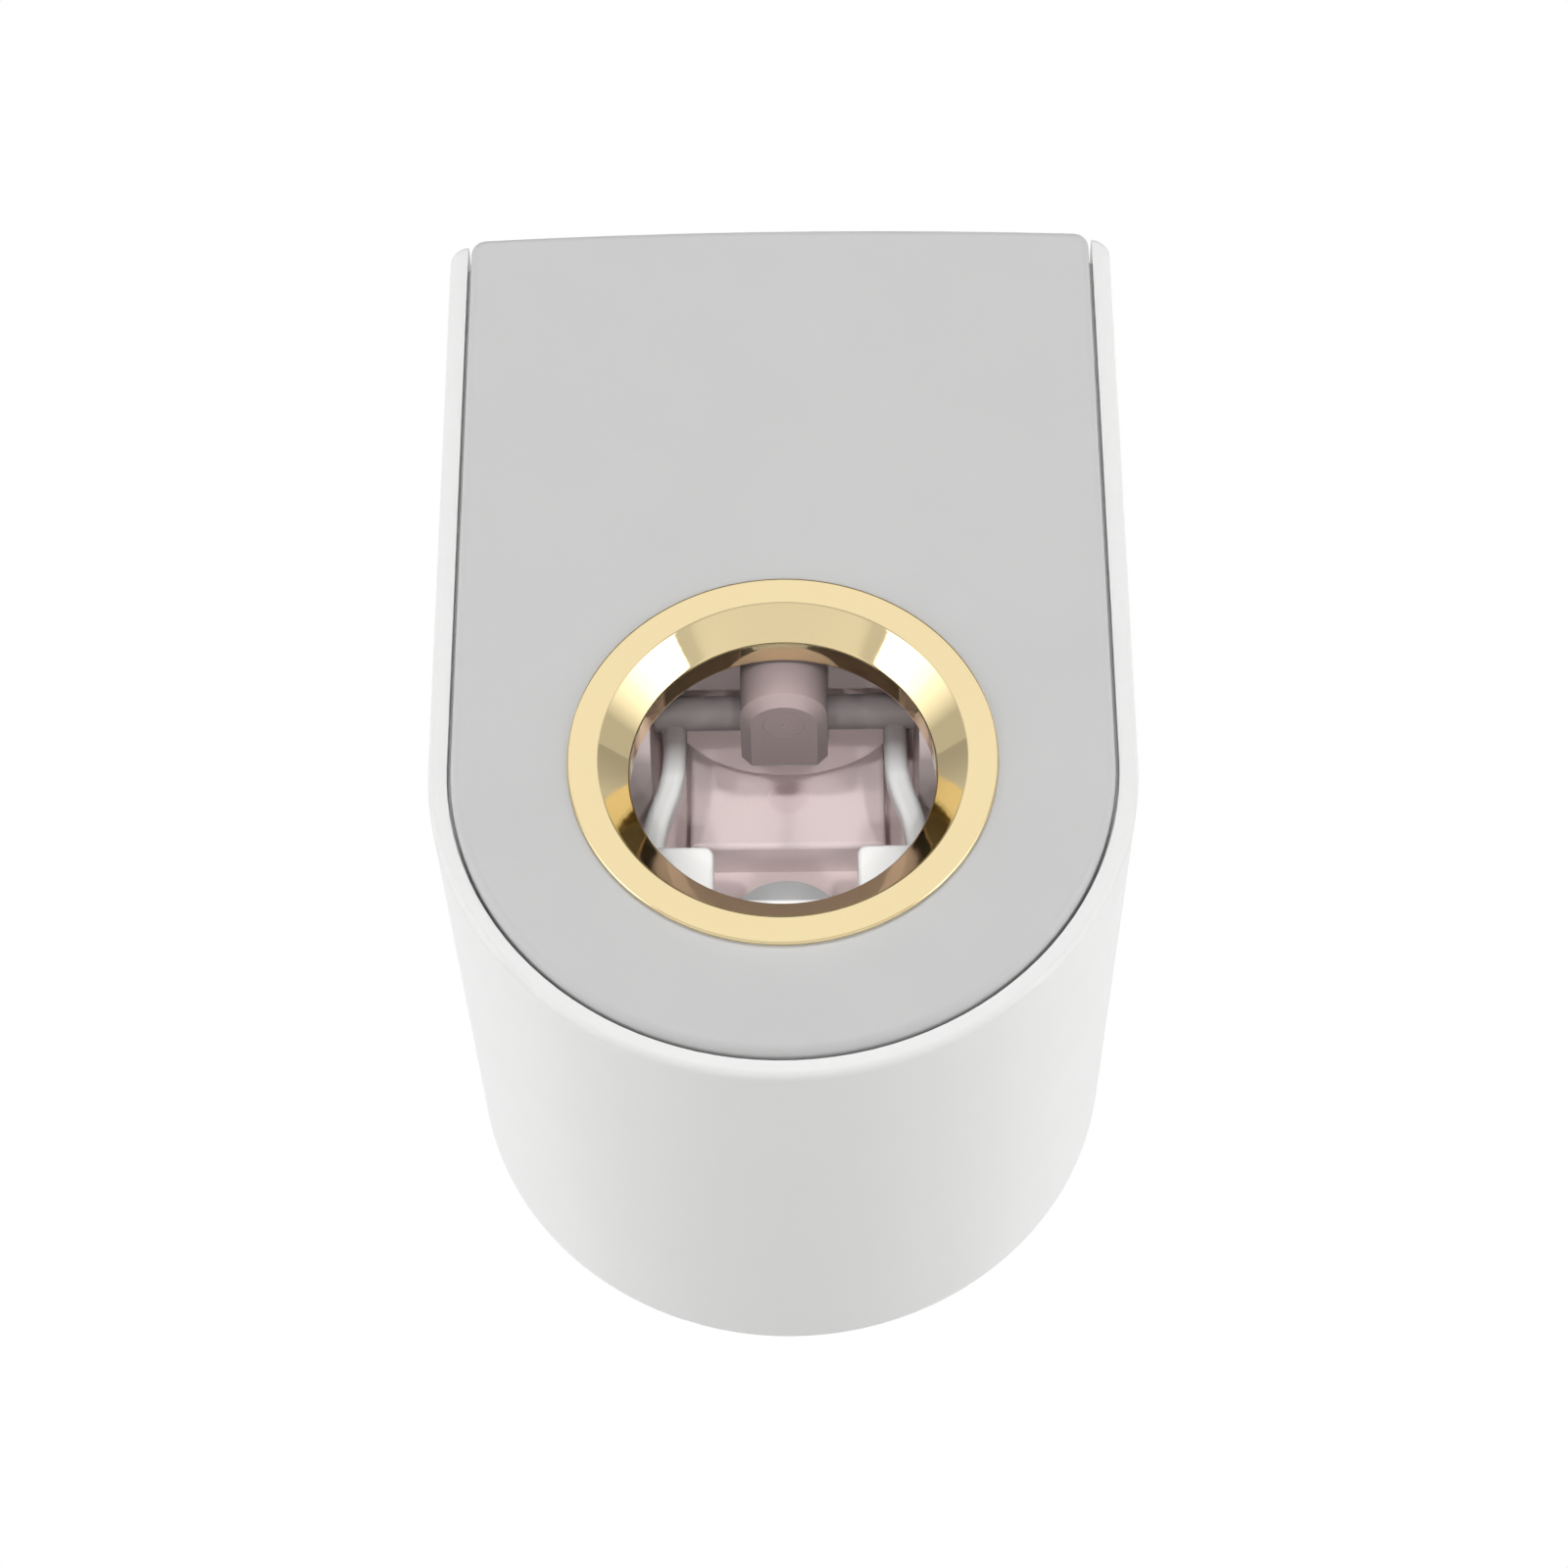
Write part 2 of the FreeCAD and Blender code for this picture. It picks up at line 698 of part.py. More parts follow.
# The back of the casing: a thickened pad with the bracket's recess, the hook slots and the chassis bosses.
recess_half = dim.plate_width / 2 + dim.recess_margin
recess_high = plate_mid + dim.plate_height / 2 + dim.recess_margin
recess_low = plate_mid - dim.plate_height / 2 - dim.recess_margin - dim.hook_lift
sketch = new_sketch(shell, "XZ_Plane", dim.back_wall)
edge_half = recess_half + dim.recess_rim
rectangle(sketch, -edge_half, edge_half, recess_low - dim.recess_rim, recess_high + dim.recess_rim)
pad(sketch, pad_depth - dim.back_wall)
sketch = new_sketch(shell, "XZ_Plane")
rectangle(sketch, -recess_half, recess_half, recess_low, recess_high)
pocket(sketch, recess_depth, True)
sketch = new_sketch(shell, "XZ_Plane")
for side in SIDES:
    for row in SIDES:
        left = dim.hook_spread / 2 * side - dim.hook_width / 2 - dim.hang_gap
        high = plate_mid + dim.hook_pitch / 2 * row + dim.hook_height / 2
        low = high - dim.hook_height - dim.hook_rise - dim.overrun
        rectangle(sketch, left, left + dim.hook_width + dim.hang_gap * 2, low, high)
pocket(sketch, pad_depth + dim.overrun, True)
boss_top = pad_depth + dim.boss_height
for radius, offset, deep in (
    (dim.boss_radius, pad_depth, None),
    (dim.chassis_screw_radius + dim.thread_fit, boss_top, dim.boss_height + dim.recess_wall),
):
    sketch = new_sketch(shell, "XZ_Plane", offset)
    for side in SIDES:
        for high in (-dim.screw_low, dim.screw_high):
            circle(sketch, screw_x * side, high, radius)
    if deep is None:
        pad(sketch, dim.boss_height)
    else:
        pocket(sketch, deep)
sketch = new_sketch(shell, "XY_Plane", dim.shell_top)
circle(sketch, 0, pump_y + dim.wall_gap, cup_bore)
pocket(sketch, dim.top_wall + dim.overrun)

# The cover: an arch-shaped plate that slides up off the casing on two rails.
cover_top = dim.shell_top + dim.cover_overhang
front_cover = new_body("front_cover", 0, face_y + dim.cover_thick, axis_z)
sketch = new_sketch(front_cover, "XZ_Plane")
arch(sketch, cover_half, cover_top, dim.cover_crown)
pad(sketch, dim.cover_thick)
dress(front_cover, "Fillet", dim.cover_corner, lambda edge: runs_along(edge, y_axis)
      and edge.CenterOfMass.z > top_corner)
dress(front_cover, "Fillet", dim.cover_round, lambda edge: lies_at(edge, y_axis, -dim.cover_thick.value))
sketch = new_sketch(front_cover, "XZ_Plane")
circle(sketch, 0, 0, ring_sleeve + dim.ring_fit)
pocket(sketch, dim.cover_thick + dim.overrun, True)
sketch = new_sketch(front_cover, "XZ_Plane")
rectangle(sketch, -rail_out, rail_out, cover_top - dim.skirt_thick, cover_top)
pad(sketch, rail_back - dim.cover_thick, True)
sketch = new_sketch(front_cover, "XY_Plane", dim.rail_low)
rail_deep = rail_back - dim.cover_thick
for side in SIDES:
    inside, web, flange = [(rail_out + dim.rail_thick * step) * side for step in (-1, 0, 1)]
    ledge = rail_deep - dim.rail_thick
    polygon(sketch, [
        (inside, 0), (web, 0), (web, ledge), (flange, ledge), (flange, rail_deep), (inside, rail_deep),
    ])
pad(sketch, dim.rail_length)

# The gold ring and the ring that holds it from behind.
ring_front = dim.ring_proud
cone_low = dim.ring_proud - dim.ring_cone_depth
neck_start = -(dim.cover_thick + dim.ring_shoulder)
trim_ring = turned("trim_ring", [
    (dim.ring_mouth_radius, ring_front), (dim.ring_flange_radius, ring_front), (dim.ring_flange_radius, 0),
    (ring_sleeve, 0), (ring_sleeve, neck_start), (ring_neck, neck_start), (ring_neck, -ring_back),
    (dim.ring_throat_radius, -ring_back), (dim.ring_throat_radius, cone_low),
], 0, face_y, axis_z, TO_FRONT)
dress(trim_ring, "Fillet", dim.ring_round, lambda edge: lies_at(edge, z_axis, ring_front.value)
      and edge.BoundBox.XMax > ring_sleeve.value)
retainer_back = -(dim.cover_thick + dim.retainer_thick)
turned("ring_retainer", [
    (ring_sleeve + dim.ring_fit, -dim.cover_thick), (dim.retainer_radius, -dim.cover_thick),
    (dim.retainer_radius, retainer_back), (ring_neck + dim.ring_fit, retainer_back),
    (ring_neck + dim.ring_fit, neck_start), (ring_sleeve + dim.ring_fit, neck_start),
], 0, face_y, axis_z, TO_FRONT)

# The chassis: back plate, raised panel, two cheeks for the pin and the pump, and the spring sleeve.
chassis = new_body("chassis", 0, chassis_y, axis_z)
chassis_half = dim.chassis_width / 2
cheek_in = dim.cheek_gap / 2
cheek_out = cheek_in + dim.cheek_thick
nose = chassis_depth - pivot_depth + dim.cheek_nose
sleeve_bore = dim.spring_cap_radius + dim.sleeve_fit
sketch = new_sketch(chassis, "XZ_Plane")
rectangle(sketch, -chassis_half, chassis_half, -dim.chassis_drop, dim.chassis_rise)
pad(sketch, dim.chassis_thick, True)
dress(chassis, "Fillet", dim.chassis_corner, lambda edge: runs_along(edge, y_axis))
sketch = new_sketch(chassis, "XZ_Plane")
rectangle(sketch, -dim.panel_width / 2, dim.panel_width / 2, dim.panel_low, dim.panel_high)
pad(sketch, panel_rise)
dress(chassis, "Fillet", dim.panel_round, lambda edge: lies_at(edge, y_axis, -panel_rise.value))
sketch = new_sketch(chassis, "XZ_Plane", panel_rise)
circle(sketch, 0, dim.mark_height, dim.mark_radius)
pocket(sketch, dim.mark_depth)
sketch = new_sketch(chassis, "XZ_Plane")
for side in SIDES:
    rectangle(sketch, cheek_in * side, cheek_out * side, dim.cheek_low, dim.lug_seat)
pad(sketch, nose)
dress(chassis, "Fillet", dim.cheek_round, lambda edge: runs_along(edge, x_axis)
      and lies_at(edge, y_axis, -nose.value) and edge.CenterOfMass.z < dim.pivot_height.value)
stop_front = chassis_depth - pivot_depth + dim.arm_front - dim.arm_thick - dim.stop_gap
stop_in = dim.arm_top_offset + dim.arm_width / 2 - dim.stop_overlap
stop_out = cheek_in + dim.stop_gap
stop_low = dim.pivot_height + dim.stop_low
sketch = new_sketch(chassis, "XZ_Plane", stop_front)
for side in SIDES:
    rectangle(sketch, stop_in * side, stop_out * side, stop_low, stop_low + dim.stop_height)
pad(sketch, dim.stop_length, True)
sketch = new_sketch(chassis, "XY_Plane", dim.lug_seat)
for side in SIDES:
    circle(sketch, post_x * side, pump_y - chassis_y, dim.post_radius)
pad(sketch, dim.post_length, True)
sketch = new_sketch(chassis, "XY_Plane", dim.lug_seat)
for side in SIDES:
    circle(sketch, post_x * side, pump_y - chassis_y, dim.pump_screw_radius + dim.thread_fit)
pocket(sketch, dim.screw_grip + dim.overrun)
sketch = new_sketch(chassis, "YZ_Plane", -cheek_out - dim.overrun)
circle(sketch, pivot_y - chassis_y, dim.pivot_height, dim.pin_radius + dim.pin_seat_fit)
pocket(sketch, cheek_out * 2 + dim.overrun * 2, True)
sketch = new_sketch(chassis, "XZ_Plane")
circle(sketch, 0, -dim.spring_height, sleeve_bore + dim.sleeve_wall)
circle(sketch, 0, -dim.spring_height, sleeve_bore)
pad(sketch, sleeve_length)
sketch = new_sketch(chassis, "XZ_Plane")
for side in SIDES:
    for high in (-dim.screw_low, dim.screw_high):
        circle(sketch, screw_x * side, high, dim.chassis_screw_radius + dim.screw_clearance)
pocket(sketch, dim.chassis_thick + dim.overrun)

group("chassis_screws", [
    screw(dim.chassis_screw_radius, dim.screw_grip, screw_x * side, chassis_y, axis_z + high, TO_FRONT)
    for side in SIDES for high in (-dim.screw_low, dim.screw_high)
])

# The pump body: chamber below a pierced roof, inlet cup above it, outlet port in front, a lug at each side.
pump_body = new_body("pump_body", 0, pump_y, axis_z)
sketch = new_sketch(pump_body, "XZ_Plane")
shoulder = cap_top + dim.cap_gap
polygon(sketch, [
    (0, body_low), (thread_radius, body_low), (thread_radius, shoulder), (dim.cap_radius, shoulder),
    (dim.cap_radius, roof_top), (dim.cup_radius, roof_top), (dim.cup_radius, cup_top), (0, cup_top),
])
revolve(sketch)
port_front = pump_depth - nozzle_back
port_half = dim.port_pad_height / 2
sketch = new_sketch(pump_body, "XZ_Plane")
rectangle(sketch, -dim.port_pad_width / 2, dim.port_pad_width / 2, port_z - port_half, port_z + port_half)
pad(sketch, port_front)
sketch = new_sketch(pump_body, "XY_Plane", dim.lug_seat)
rectangle(sketch, -dim.lug_reach, dim.lug_reach, -dim.lug_width / 2, dim.lug_width / 2)
pad(sketch, dim.lug_thick)
sketch = new_sketch(pump_body, "XZ_Plane")
valve_hole = dim.valve_stem_radius + dim.valve_stem_fit
polygon(sketch, [
    (0, body_low - dim.overrun), (dim.chamber_radius, body_low - dim.overrun),
    (dim.chamber_radius, dim.chamber_top), (valve_hole, dim.chamber_top), (valve_hole, roof_top),
    (cup_bore, roof_top), (cup_bore, cup_top + dim.overrun), (0, cup_top + dim.overrun),
])
revolve(sketch, "Groove")
sketch = new_sketch(pump_body, "XY_Plane", roof_top)
for i in range(INLET_HOLES):
    turn = 2 * math.pi * i / INLET_HOLES
    across, along = round(math.cos(turn)), round(math.sin(turn))
    circle(sketch, dim.inlet_hole_circle * across, dim.inlet_hole_circle * along, dim.inlet_hole_radius)
pocket(sketch, dim.roof_thick + dim.overrun)
sketch = new_sketch(pump_body, "XZ_Plane", port_front)
circle(sketch, 0, port_z, dim.port_radius)
pocket(sketch, port_front)
sketch = new_sketch(pump_body, "XZ_Plane", port_front)
for side in SIDES:
    circle(sketch, dim.nozzle_screw_spread / 2 * side, port_z, dim.pump_screw_radius + dim.thread_fit)
pocket(sketch, dim.screw_grip)
sketch = new_sketch(pump_body, "XY_Plane", dim.lug_seat + dim.lug_thick)
for side in SIDES:
    circle(sketch, post_x * side, 0, dim.pump_screw_radius + dim.screw_clearance)
pocket(sketch, dim.lug_thick + dim.overrun)

group("pump_screws", [
    screw(dim.pump_screw_radius, dim.screw_grip + dim.lug_thick, post_x * side, pump_y,
          axis_z + dim.lug_seat + dim.lug_thick, UPRIGHT)
    for side in SIDES
])

# The screw cap under the chamber, the plunger through it and the silicone hat over the plunger.
stem_hole = dim.stem_radius + dim.stem_fit
cap_inner = dim.cap_radius - dim.cap_wall
pump_base = turned("pump_base", [
    (stem_hole, dim.base_height), (dim.cap_radius, dim.base_height), (dim.cap_radius, cap_top),
    (cap_inner, cap_top), (cap_inner, skin_low), (stem_hole, skin_low),
], 0, pump_y, axis_z)
dress(pump_base, "Fillet", dim.cap_round, lambda edge: lies_at(edge, z_axis, dim.base_height.value)
      and edge.BoundBox.XMax > dim.chamber_radius.value)
plunger = turned("plunger", [
    (0, dim.stem_tip), (dim.stem_radius, dim.stem_tip), (dim.stem_radius, dim.head_low),
    (dim.plunger_head_radius, dim.head_low), (dim.plunger_head_radius, head_top), (0, head_top),
], 0, pump_y, axis_z)
dress(plunger, "Fillet", dim.stem_round, lambda edge: lies_at(edge, z_axis, dim.stem_tip.value))
dress(plunger, "Fillet", dim.plunger_head_round, lambda edge: lies_at(edge, z_axis, head_top.value))
skin_rim = thread_radius - dim.skin_inset
turned("diaphragm", [
    (0, skin_under), (skin_inner, skin_under), (skin_inner, skin_low + dim.skin_flare),
    (skin_inner + dim.skin_thick, skin_low), (skin_rim, skin_low), (skin_rim, body_low),
    (skin_outer + dim.skin_thick, body_low), (skin_outer, body_low + dim.skin_flare),
    (skin_outer, skin_over), (0, skin_over),
], 0, pump_y, axis_z)

# The umbrella valve that lets paste in through the roof.
valve_top = dim.chamber_top - dim.valve_gap
bulb_low = roof_top + dim.valve_gap
turned("inlet_valve", [
    (0, valve_top - dim.valve_edge - dim.valve_cone), (dim.valve_radius, valve_top - dim.valve_edge),
    (dim.valve_radius, valve_top), (dim.valve_stem_radius, valve_top), (dim.valve_stem_radius, bulb_low),
    (dim.valve_bulb_radius, bulb_low), (dim.valve_stem_radius, bulb_low + dim.valve_bulb_length),
    (0, bulb_low + dim.valve_bulb_length),
], 0, pump_y, axis_z)

# The silicone socket for the neck of the tube.
seal_top = dim.shell_top + dim.seal_flange_thick
seal_outer = cup_bore - dim.seal_fit
socket_high = seal_top - dim.socket_flare
socket_low = socket_high - dim.socket_length
turned("inlet_seal", [
    (dim.socket_radius, socket_low), (seal_outer, socket_low),
    (seal_outer, dim.shell_top), (dim.seal_flange_radius, dim.shell_top),
    (dim.seal_flange_radius, seal_top - dim.seal_edge), (dim.seal_flange_radius - dim.seal_edge, seal_top),
    (dim.socket_radius + dim.socket_flare, seal_top), (dim.socket_radius, socket_high),
], 0, pump_y, axis_z)

# The nozzle: a column with a rounded front, bored down its middle, screwed to the port.
nozzle_half = dim.nozzle_width / 2
nozzle_mid = nozzle_front + nozzle_half
nozzle_top = port_z + port_half
outlet_nozzle = new_body("outlet_nozzle", 0, behind(nozzle_mid), axis_z)
back_from_mid = nozzle_back - nozzle_mid
sketch = new_sketch(outlet_nozzle, "XY_Plane", dim.nozzle_low)
arch(sketch, nozzle_half, back_from_mid)
pad(sketch, nozzle_top - dim.nozzle_low)
dress(outlet_nozzle, "Chamfer", dim.nozzle_chamfer, lambda edge: lies_at(edge, z_axis, dim.nozzle_low.value)
      and edge.CenterOfMass.y < 0)
sketch = new_sketch(outlet_nozzle, "XZ_Plane", -back_from_mid)
rectangle(sketch, -dim.port_pad_width / 2, dim.port_pad_width / 2, port_z - port_half, nozzle_top)
pad(sketch, dim.nozzle_flange_thick)
sketch = new_sketch(outlet_nozzle, "XY_Plane", dim.nozzle_low)
circle(sketch, 0, 0, dim.nozzle_bore_radius)
pocket(sketch, port_z - dim.nozzle_low, True)
slit_length = back_from_mid * SLIT_SHARE
for radius, deep in (
    (dim.slit_flange_radius + dim.slit_gap, dim.slit_flange_thick),
    (dim.slit_body_radius + dim.slit_room, slit_length + dim.slit_room),
):
    sketch = new_sketch(outlet_nozzle, "XZ_Plane", -back_from_mid)
    circle(sketch, 0, port_z, radius)
    pocket(sketch, deep, True)
sketch = new_sketch(outlet_nozzle, "XZ_Plane", -back_from_mid)
for side in SIDES:
    circle(sketch, dim.nozzle_screw_spread / 2 * side, port_z, dim.pump_screw_radius + dim.screw_clearance)
pocket(sketch, dim.nozzle_flange_thick + dim.overrun, True)
group("nozzle_screws", [
    screw(dim.pump_screw_radius, dim.screw_grip, dim.nozzle_screw_spread / 2 * side,
          behind(nozzle_back - dim.nozzle_flange_thick), axis_z + port_z, TO_FRONT)
    for side in SIDES
])

# The slit valve between the port and the nozzle.
slit_shoulder = dim.slit_flange_thick + (slit_length - dim.slit_flange_thick) * SLIT_BODY_SHARE
turned("outlet_valve", [
    (dim.slit_bore_radius, 0), (dim.slit_flange_radius, 0), (dim.slit_flange_radius, dim.slit_flange_thick),
    (dim.slit_body_radius, dim.slit_flange_thick), (dim.slit_body_radius, slit_shoulder),
    (dim.slit_tip_radius, slit_length), (dim.slit_tip_hole, slit_length),
    (dim.slit_bore_radius, slit_shoulder),
], 0, behind(nozzle_back), axis_z + port_z, TO_FRONT)

# The silicone spout that closes the mouth of the nozzle between uses.
spout_radius = dim.nozzle_bore_radius - dim.spout_fit
spout_bore = spout_radius - dim.spout_wall
turned("outlet_spout", [
    (dim.spout_opening, 0), (spout_radius, 0), (spout_radius, dim.spout_length),
    (spout_bore, dim.spout_length), (spout_bore, dim.spout_floor), (dim.spout_opening, dim.spout_floor),
], 0, behind(nozzle_mid), axis_z + dim.nozzle_low)

# The pin of the trigger, with a groove and a clip at each end.
groove_in = cheek_out + dim.clip_gap
groove_out = groove_in + dim.clip_groove_width
pin_half = groove_out + dim.pin_end
groove_radius = dim.pin_radius - dim.clip_groove_depth
turned("pivot_pin", [
    (0, -pin_half), (dim.pin_radius, -pin_half),
    (dim.pin_radius, -groove_out), (groove_radius, -groove_out),
    (groove_radius, -groove_in), (dim.pin_radius, -groove_in),
    (dim.pin_radius, groove_in), (groove_radius, groove_in),
    (groove_radius, groove_out), (dim.pin_radius, groove_out),
    (dim.pin_radius, pin_half), (0, pin_half),
], 0, pivot_y, pivot_z, SIDEWAYS)
clip_start = groove_in + (dim.clip_groove_width - dim.clip_thick) / 2
clips = []
for side in SIDES:
    start = clip_start if side > 0 else -clip_start - dim.clip_thick
    disc = cylinder(dim.clip_radius, dim.clip_thick, start, pivot_y, pivot_z, SIDEWAYS)
    eye = cylinder(groove_radius + dim.thread_fit, dim.clip_thick, start, pivot_y, pivot_z, SIDEWAYS)
    mouth = block(dim.clip_thick, groove_radius * 2, dim.clip_radius,
                  start, pivot_y - groove_radius, pivot_z - dim.clip_radius)
    clips.append(cut(disc, joined([eye, mouth])))
group("pin_clips", clips)

# The cap over the return spring: a domed cup that slides in the chassis sleeve.
cap_y = behind(cap_depth)
cap_bore = dim.spring_cap_radius - dim.spring_cap_wall
spring_cap = new_body("spring_cap", 0, cap_y, spring_z, TO_FRONT)
sketch = new_sketch(spring_cap, "XZ_Plane")
polygon(sketch, [
    (dim.spring_cap_radius, None), (dim.spring_cap_radius, -dim.spring_cap_length),
    (cap_bore, -dim.spring_cap_length), (cap_bore, -dim.spring_cap_front),
    (0, -dim.spring_cap_front), (0, 0),
], dim.spring_cap_dome)
revolve(sketch)


def arc_through(start, heading, end):
    """The arc that leaves the start along the heading and reaches the end."""
    chord = end - start
    along = Vector(chord).normalize()
    aside = heading - along * heading.dot(along)
    bend = math.atan2(aside.Length, heading.dot(along))
    middle = start + chord / 2 + aside.normalize() * (chord.Length / 2 * math.tan(bend / 2))
    return Part.Arc(start, middle, end)


def biarc(start, start_heading, end, end_heading):
    """Two arcs that join tangentially between two points with given headings."""
    gap = end - start
    both = start_heading + end_heading
    spread = 2 * (1 - start_heading.dot(end_heading))
    reach = (math.sqrt(gap.dot(both) ** 2 + spread * gap.dot(gap)) - gap.dot(both)) / spread
    middle = (start + start_heading * reach + end - end_heading * reach) / 2
    tangent = ((end - end_heading * reach) - (start + start_heading * reach)).normalize()
    return [arc_through(start, start_heading, middle), arc_through(middle, tangent, end)]


def coil(label, radius, wire, length, turns, x, y, z, turn):
    """A spring of round wire, wound about its own Z, with a short straight end at each end."""
    steps = turns * TURN_STEPS
    rise = (length - wire) / steps
    points, headings = [], []
    for i in range(steps + 1):
        angle = STEP_ANGLE * i
        points.append(Vector(radius * math.cos(angle), radius * math.sin(angle), wire / 2 + rise * i))
        heading = Vector(-radius * math.sin(angle), radius * math.cos(angle), rise / STEP_ANGLE)
        headings.append(heading.normalize())
    level = [Vector(headings[0].x, headings[0].y, 0), Vector(headings[-1].x, headings[-1].y, 0)]
    headings[0], headings[-1] = level[0].normalize(), level[1].normalize()
    edges = [Part.LineSegment(points[0] - headings[0] * wire, points[0])]
    for i in range(steps):
        edges += biarc(points[i], headings[i], points[i + 1], headings[i + 1])
    edges.append(Part.LineSegment(points[-1], points[-1] + headings[-1] * wire))
    path = Part.Wire([edge.toShape() for edge in edges])
    section = Part.Wire([Part.Circle(points[0] - headings[0] * wire, headings[0], wire / 2).toShape()])
    made = node(label, doc.addObject("Part::Feature", label))
    made.Shape = path.makePipeShell([section], True, False)
    place(made, x, y, z, turn)
    print(label, "gap between turns", round(rise * TURN_STEPS - wire, 3))


TURN_STEPS = 4
STEP_ANGLE = 2 * math.pi / TURN_STEPS
return_start = cap_y + dim.spring_cap_front + dim.spring_end_gap
return_radius = dim.spring_cap_radius - dim.spring_cap_wall - dim.spring_side_gap - dim.return_wire / 2
return_length = chassis_y - return_start
coil("return_spring", return_radius.value, dim.return_wire.value, return_length.value, RETURN_TURNS,
     0, return_start, spring_z, TO_WALL)
pump_start = skin_over + dim.spring_end_gap
pump_length = dim.chamber_top - pump_start - dim.spring_end_gap
coil("pump_spring", dim.pump_coil_radius.value, dim.pump_wire.value, pump_length.value, PUMP_TURNS,
     0, pump_y, axis_z + pump_start, UPRIGHT)


# The trigger is drawn about its pin: X to the right, Y towards the wall, Z up.
def rounded_face(corners, y):
    """A flat face across Y at the given Y, each corner given as x, z and the radius that rounds it."""
    count = len(corners)
    edges, ends = [], []
    for i, (x, z, radius) in enumerate(corners):
        here = Vector(x, y, z)
        before = Vector(corners[i - 1][0], y, corners[i - 1][1])
        after = Vector(corners[(i + 1) % count][0], y, corners[(i + 1) % count][1])
        into, out = (before - here).normalize(), (after - here).normalize()
        half_turn = into.getAngle(out) / 2
        if radius:
            reach = radius / math.tan(half_turn)
            bisector = (into + out).normalize()
            middle = here + bisector * (radius / math.sin(half_turn) - radius)
            edges.append(Part.Arc(here + into * reach, middle, here + out * reach).toShape())
            ends.append((here + into * reach, here + out * reach))
        else:
            ends.append((here, here))
    for i in range(count):
        edges.append(Part.LineSegment(ends[i - 1][1], ends[i][0]).toShape())
    return Part.Face(Part.Wire(Part.__sortEdges__(edges)))


def on_arc(centre, reach, angle):
    """A point of an upright arc, by its reach and angle from the centre."""
    return centre + Vector(reach * math.cos(angle), 0, reach * math.sin(angle))


def arm_face(side, y):
    """The face of one S-shaped arm, from its heel down into the foot."""
    half = dim.arm_width.value / 2
    top_x, low_x = dim.arm_top_offset.value, dim.arm_low_offset.value
    high = dim.arm_bend_high.value - dim.pivot_height.value
    low = dim.arm_bend_low.value - dim.pivot_height.value
    shift, drop = low_x - top_x, high - low
    radius = (shift * shift + drop * drop) / (4 * shift)
    swing = math.asin(drop / 2 / radius)
    upper, lower = Vector(top_x + radius, y, high), Vector(low_x - radius, y, low)
    heel = dim.heel_rise.value
    toe = low - dim.arm_width.value
    edges, tips = [], []
    for offset in SIDES:
        first, second = radius - half * offset, radius + half * offset
        bend = [on_arc(upper, -first, swing * share) for share in BEND_SHARES]
        back = [on_arc(lower, second, swing * share) for share in reversed(BEND_SHARES)]
        start, end = Vector(bend[0].x, y, heel), Vector(back[-1].x, y, toe)
        edges += [Part.LineSegment(start, bend[0]), Part.Arc(*bend)]
        edges += [Part.Arc(*back), Part.LineSegment(back[-1], end)]
        tips.append((start, end))
    edges += [Part.LineSegment(tips[0][0], tips[1][0]), Part.LineSegment(tips[0][1], tips[1][1])]
    face = Part.Face(Part.Wire(Part.__sortEdges__([edge.toShape() for edge in edges])))
    return face if side > 0 else face.mirror(Vector(), x_axis)


def rounded(solid, radius):
    """The solid with every edge rounded that doesn't run along Y."""
    return solid.makeFillet(radius.value, [edge for edge in solid.Edges if not runs_along(edge, y_axis)])


BEND_SHARES = (0, 0.5, 1)
arm_y = -dim.arm_front.value
arms = []
for side in SIDES:
    arms.append(rounded(arm_face(side, arm_y).extrude(y_axis * dim.arm_thick.value), dim.arm_round))
paddle_half = dim.arm_low_offset.value + dim.arm_width.value / 2
feet_z = dim.feet_top.value - dim.pivot_height.value
notch_half = dim.notch_width.value / 2
notch_z = -dim.notch_floor.value - dim.pivot_height.value
paddle_z = -dim.paddle_low.value - dim.pivot_height.value
paddle = rounded_face([
    (-paddle_half, feet_z, dim.feet_round.value), (-notch_half, feet_z, dim.feet_round.value),
    (-notch_half, notch_z, dim.notch_round.value), (notch_half, notch_z, dim.notch_round.value),
    (notch_half, feet_z, dim.feet_round.value), (paddle_half, feet_z, dim.feet_round.value),
    (paddle_half, paddle_z, dim.paddle_corner.value), (-paddle_half, paddle_z, dim.paddle_corner.value),
], arm_y).extrude(y_axis * dim.paddle_thick.value)
paddle = rounded(paddle, dim.paddle_round)
bar_half = (cheek_in - dim.bar_end_gap).value
bar_low = Vector(-bar_half, 0, 0)
bar = Part.makeCylinder(dim.bar_radius.value, bar_half * 2, bar_low, x_axis)
finger_x = -dim.finger_width.value / 2
finger_top = dim.bar_radius.value
finger_end = (pump_depth - pivot_depth + dim.finger_overlap).value
finger_low = finger_top - dim.finger_root_thick.value
finger_corners = [
    (0, finger_top), (finger_end, finger_top), (finger_end, finger_top - dim.finger_tip_thick.value),
    (finger_top, finger_low), (0, finger_low), (0, finger_top),
]
finger = Part.Face(Part.makePolygon([Vector(finger_x, y, z) for y, z in finger_corners]))
finger = finger.extrude(x_axis * dim.finger_width.value)
bore = Part.makeCylinder(dim.pin_radius.value + dim.pin_fit.value, bar_half * 2, bar_low, x_axis)
trigger = node("trigger", doc.addObject("Part::Feature", "trigger"))
trigger.Shape = bar.multiFuse([*arms, paddle, finger]).cut(bore).removeSplitter()
place(trigger, 0, pivot_y, pivot_z)

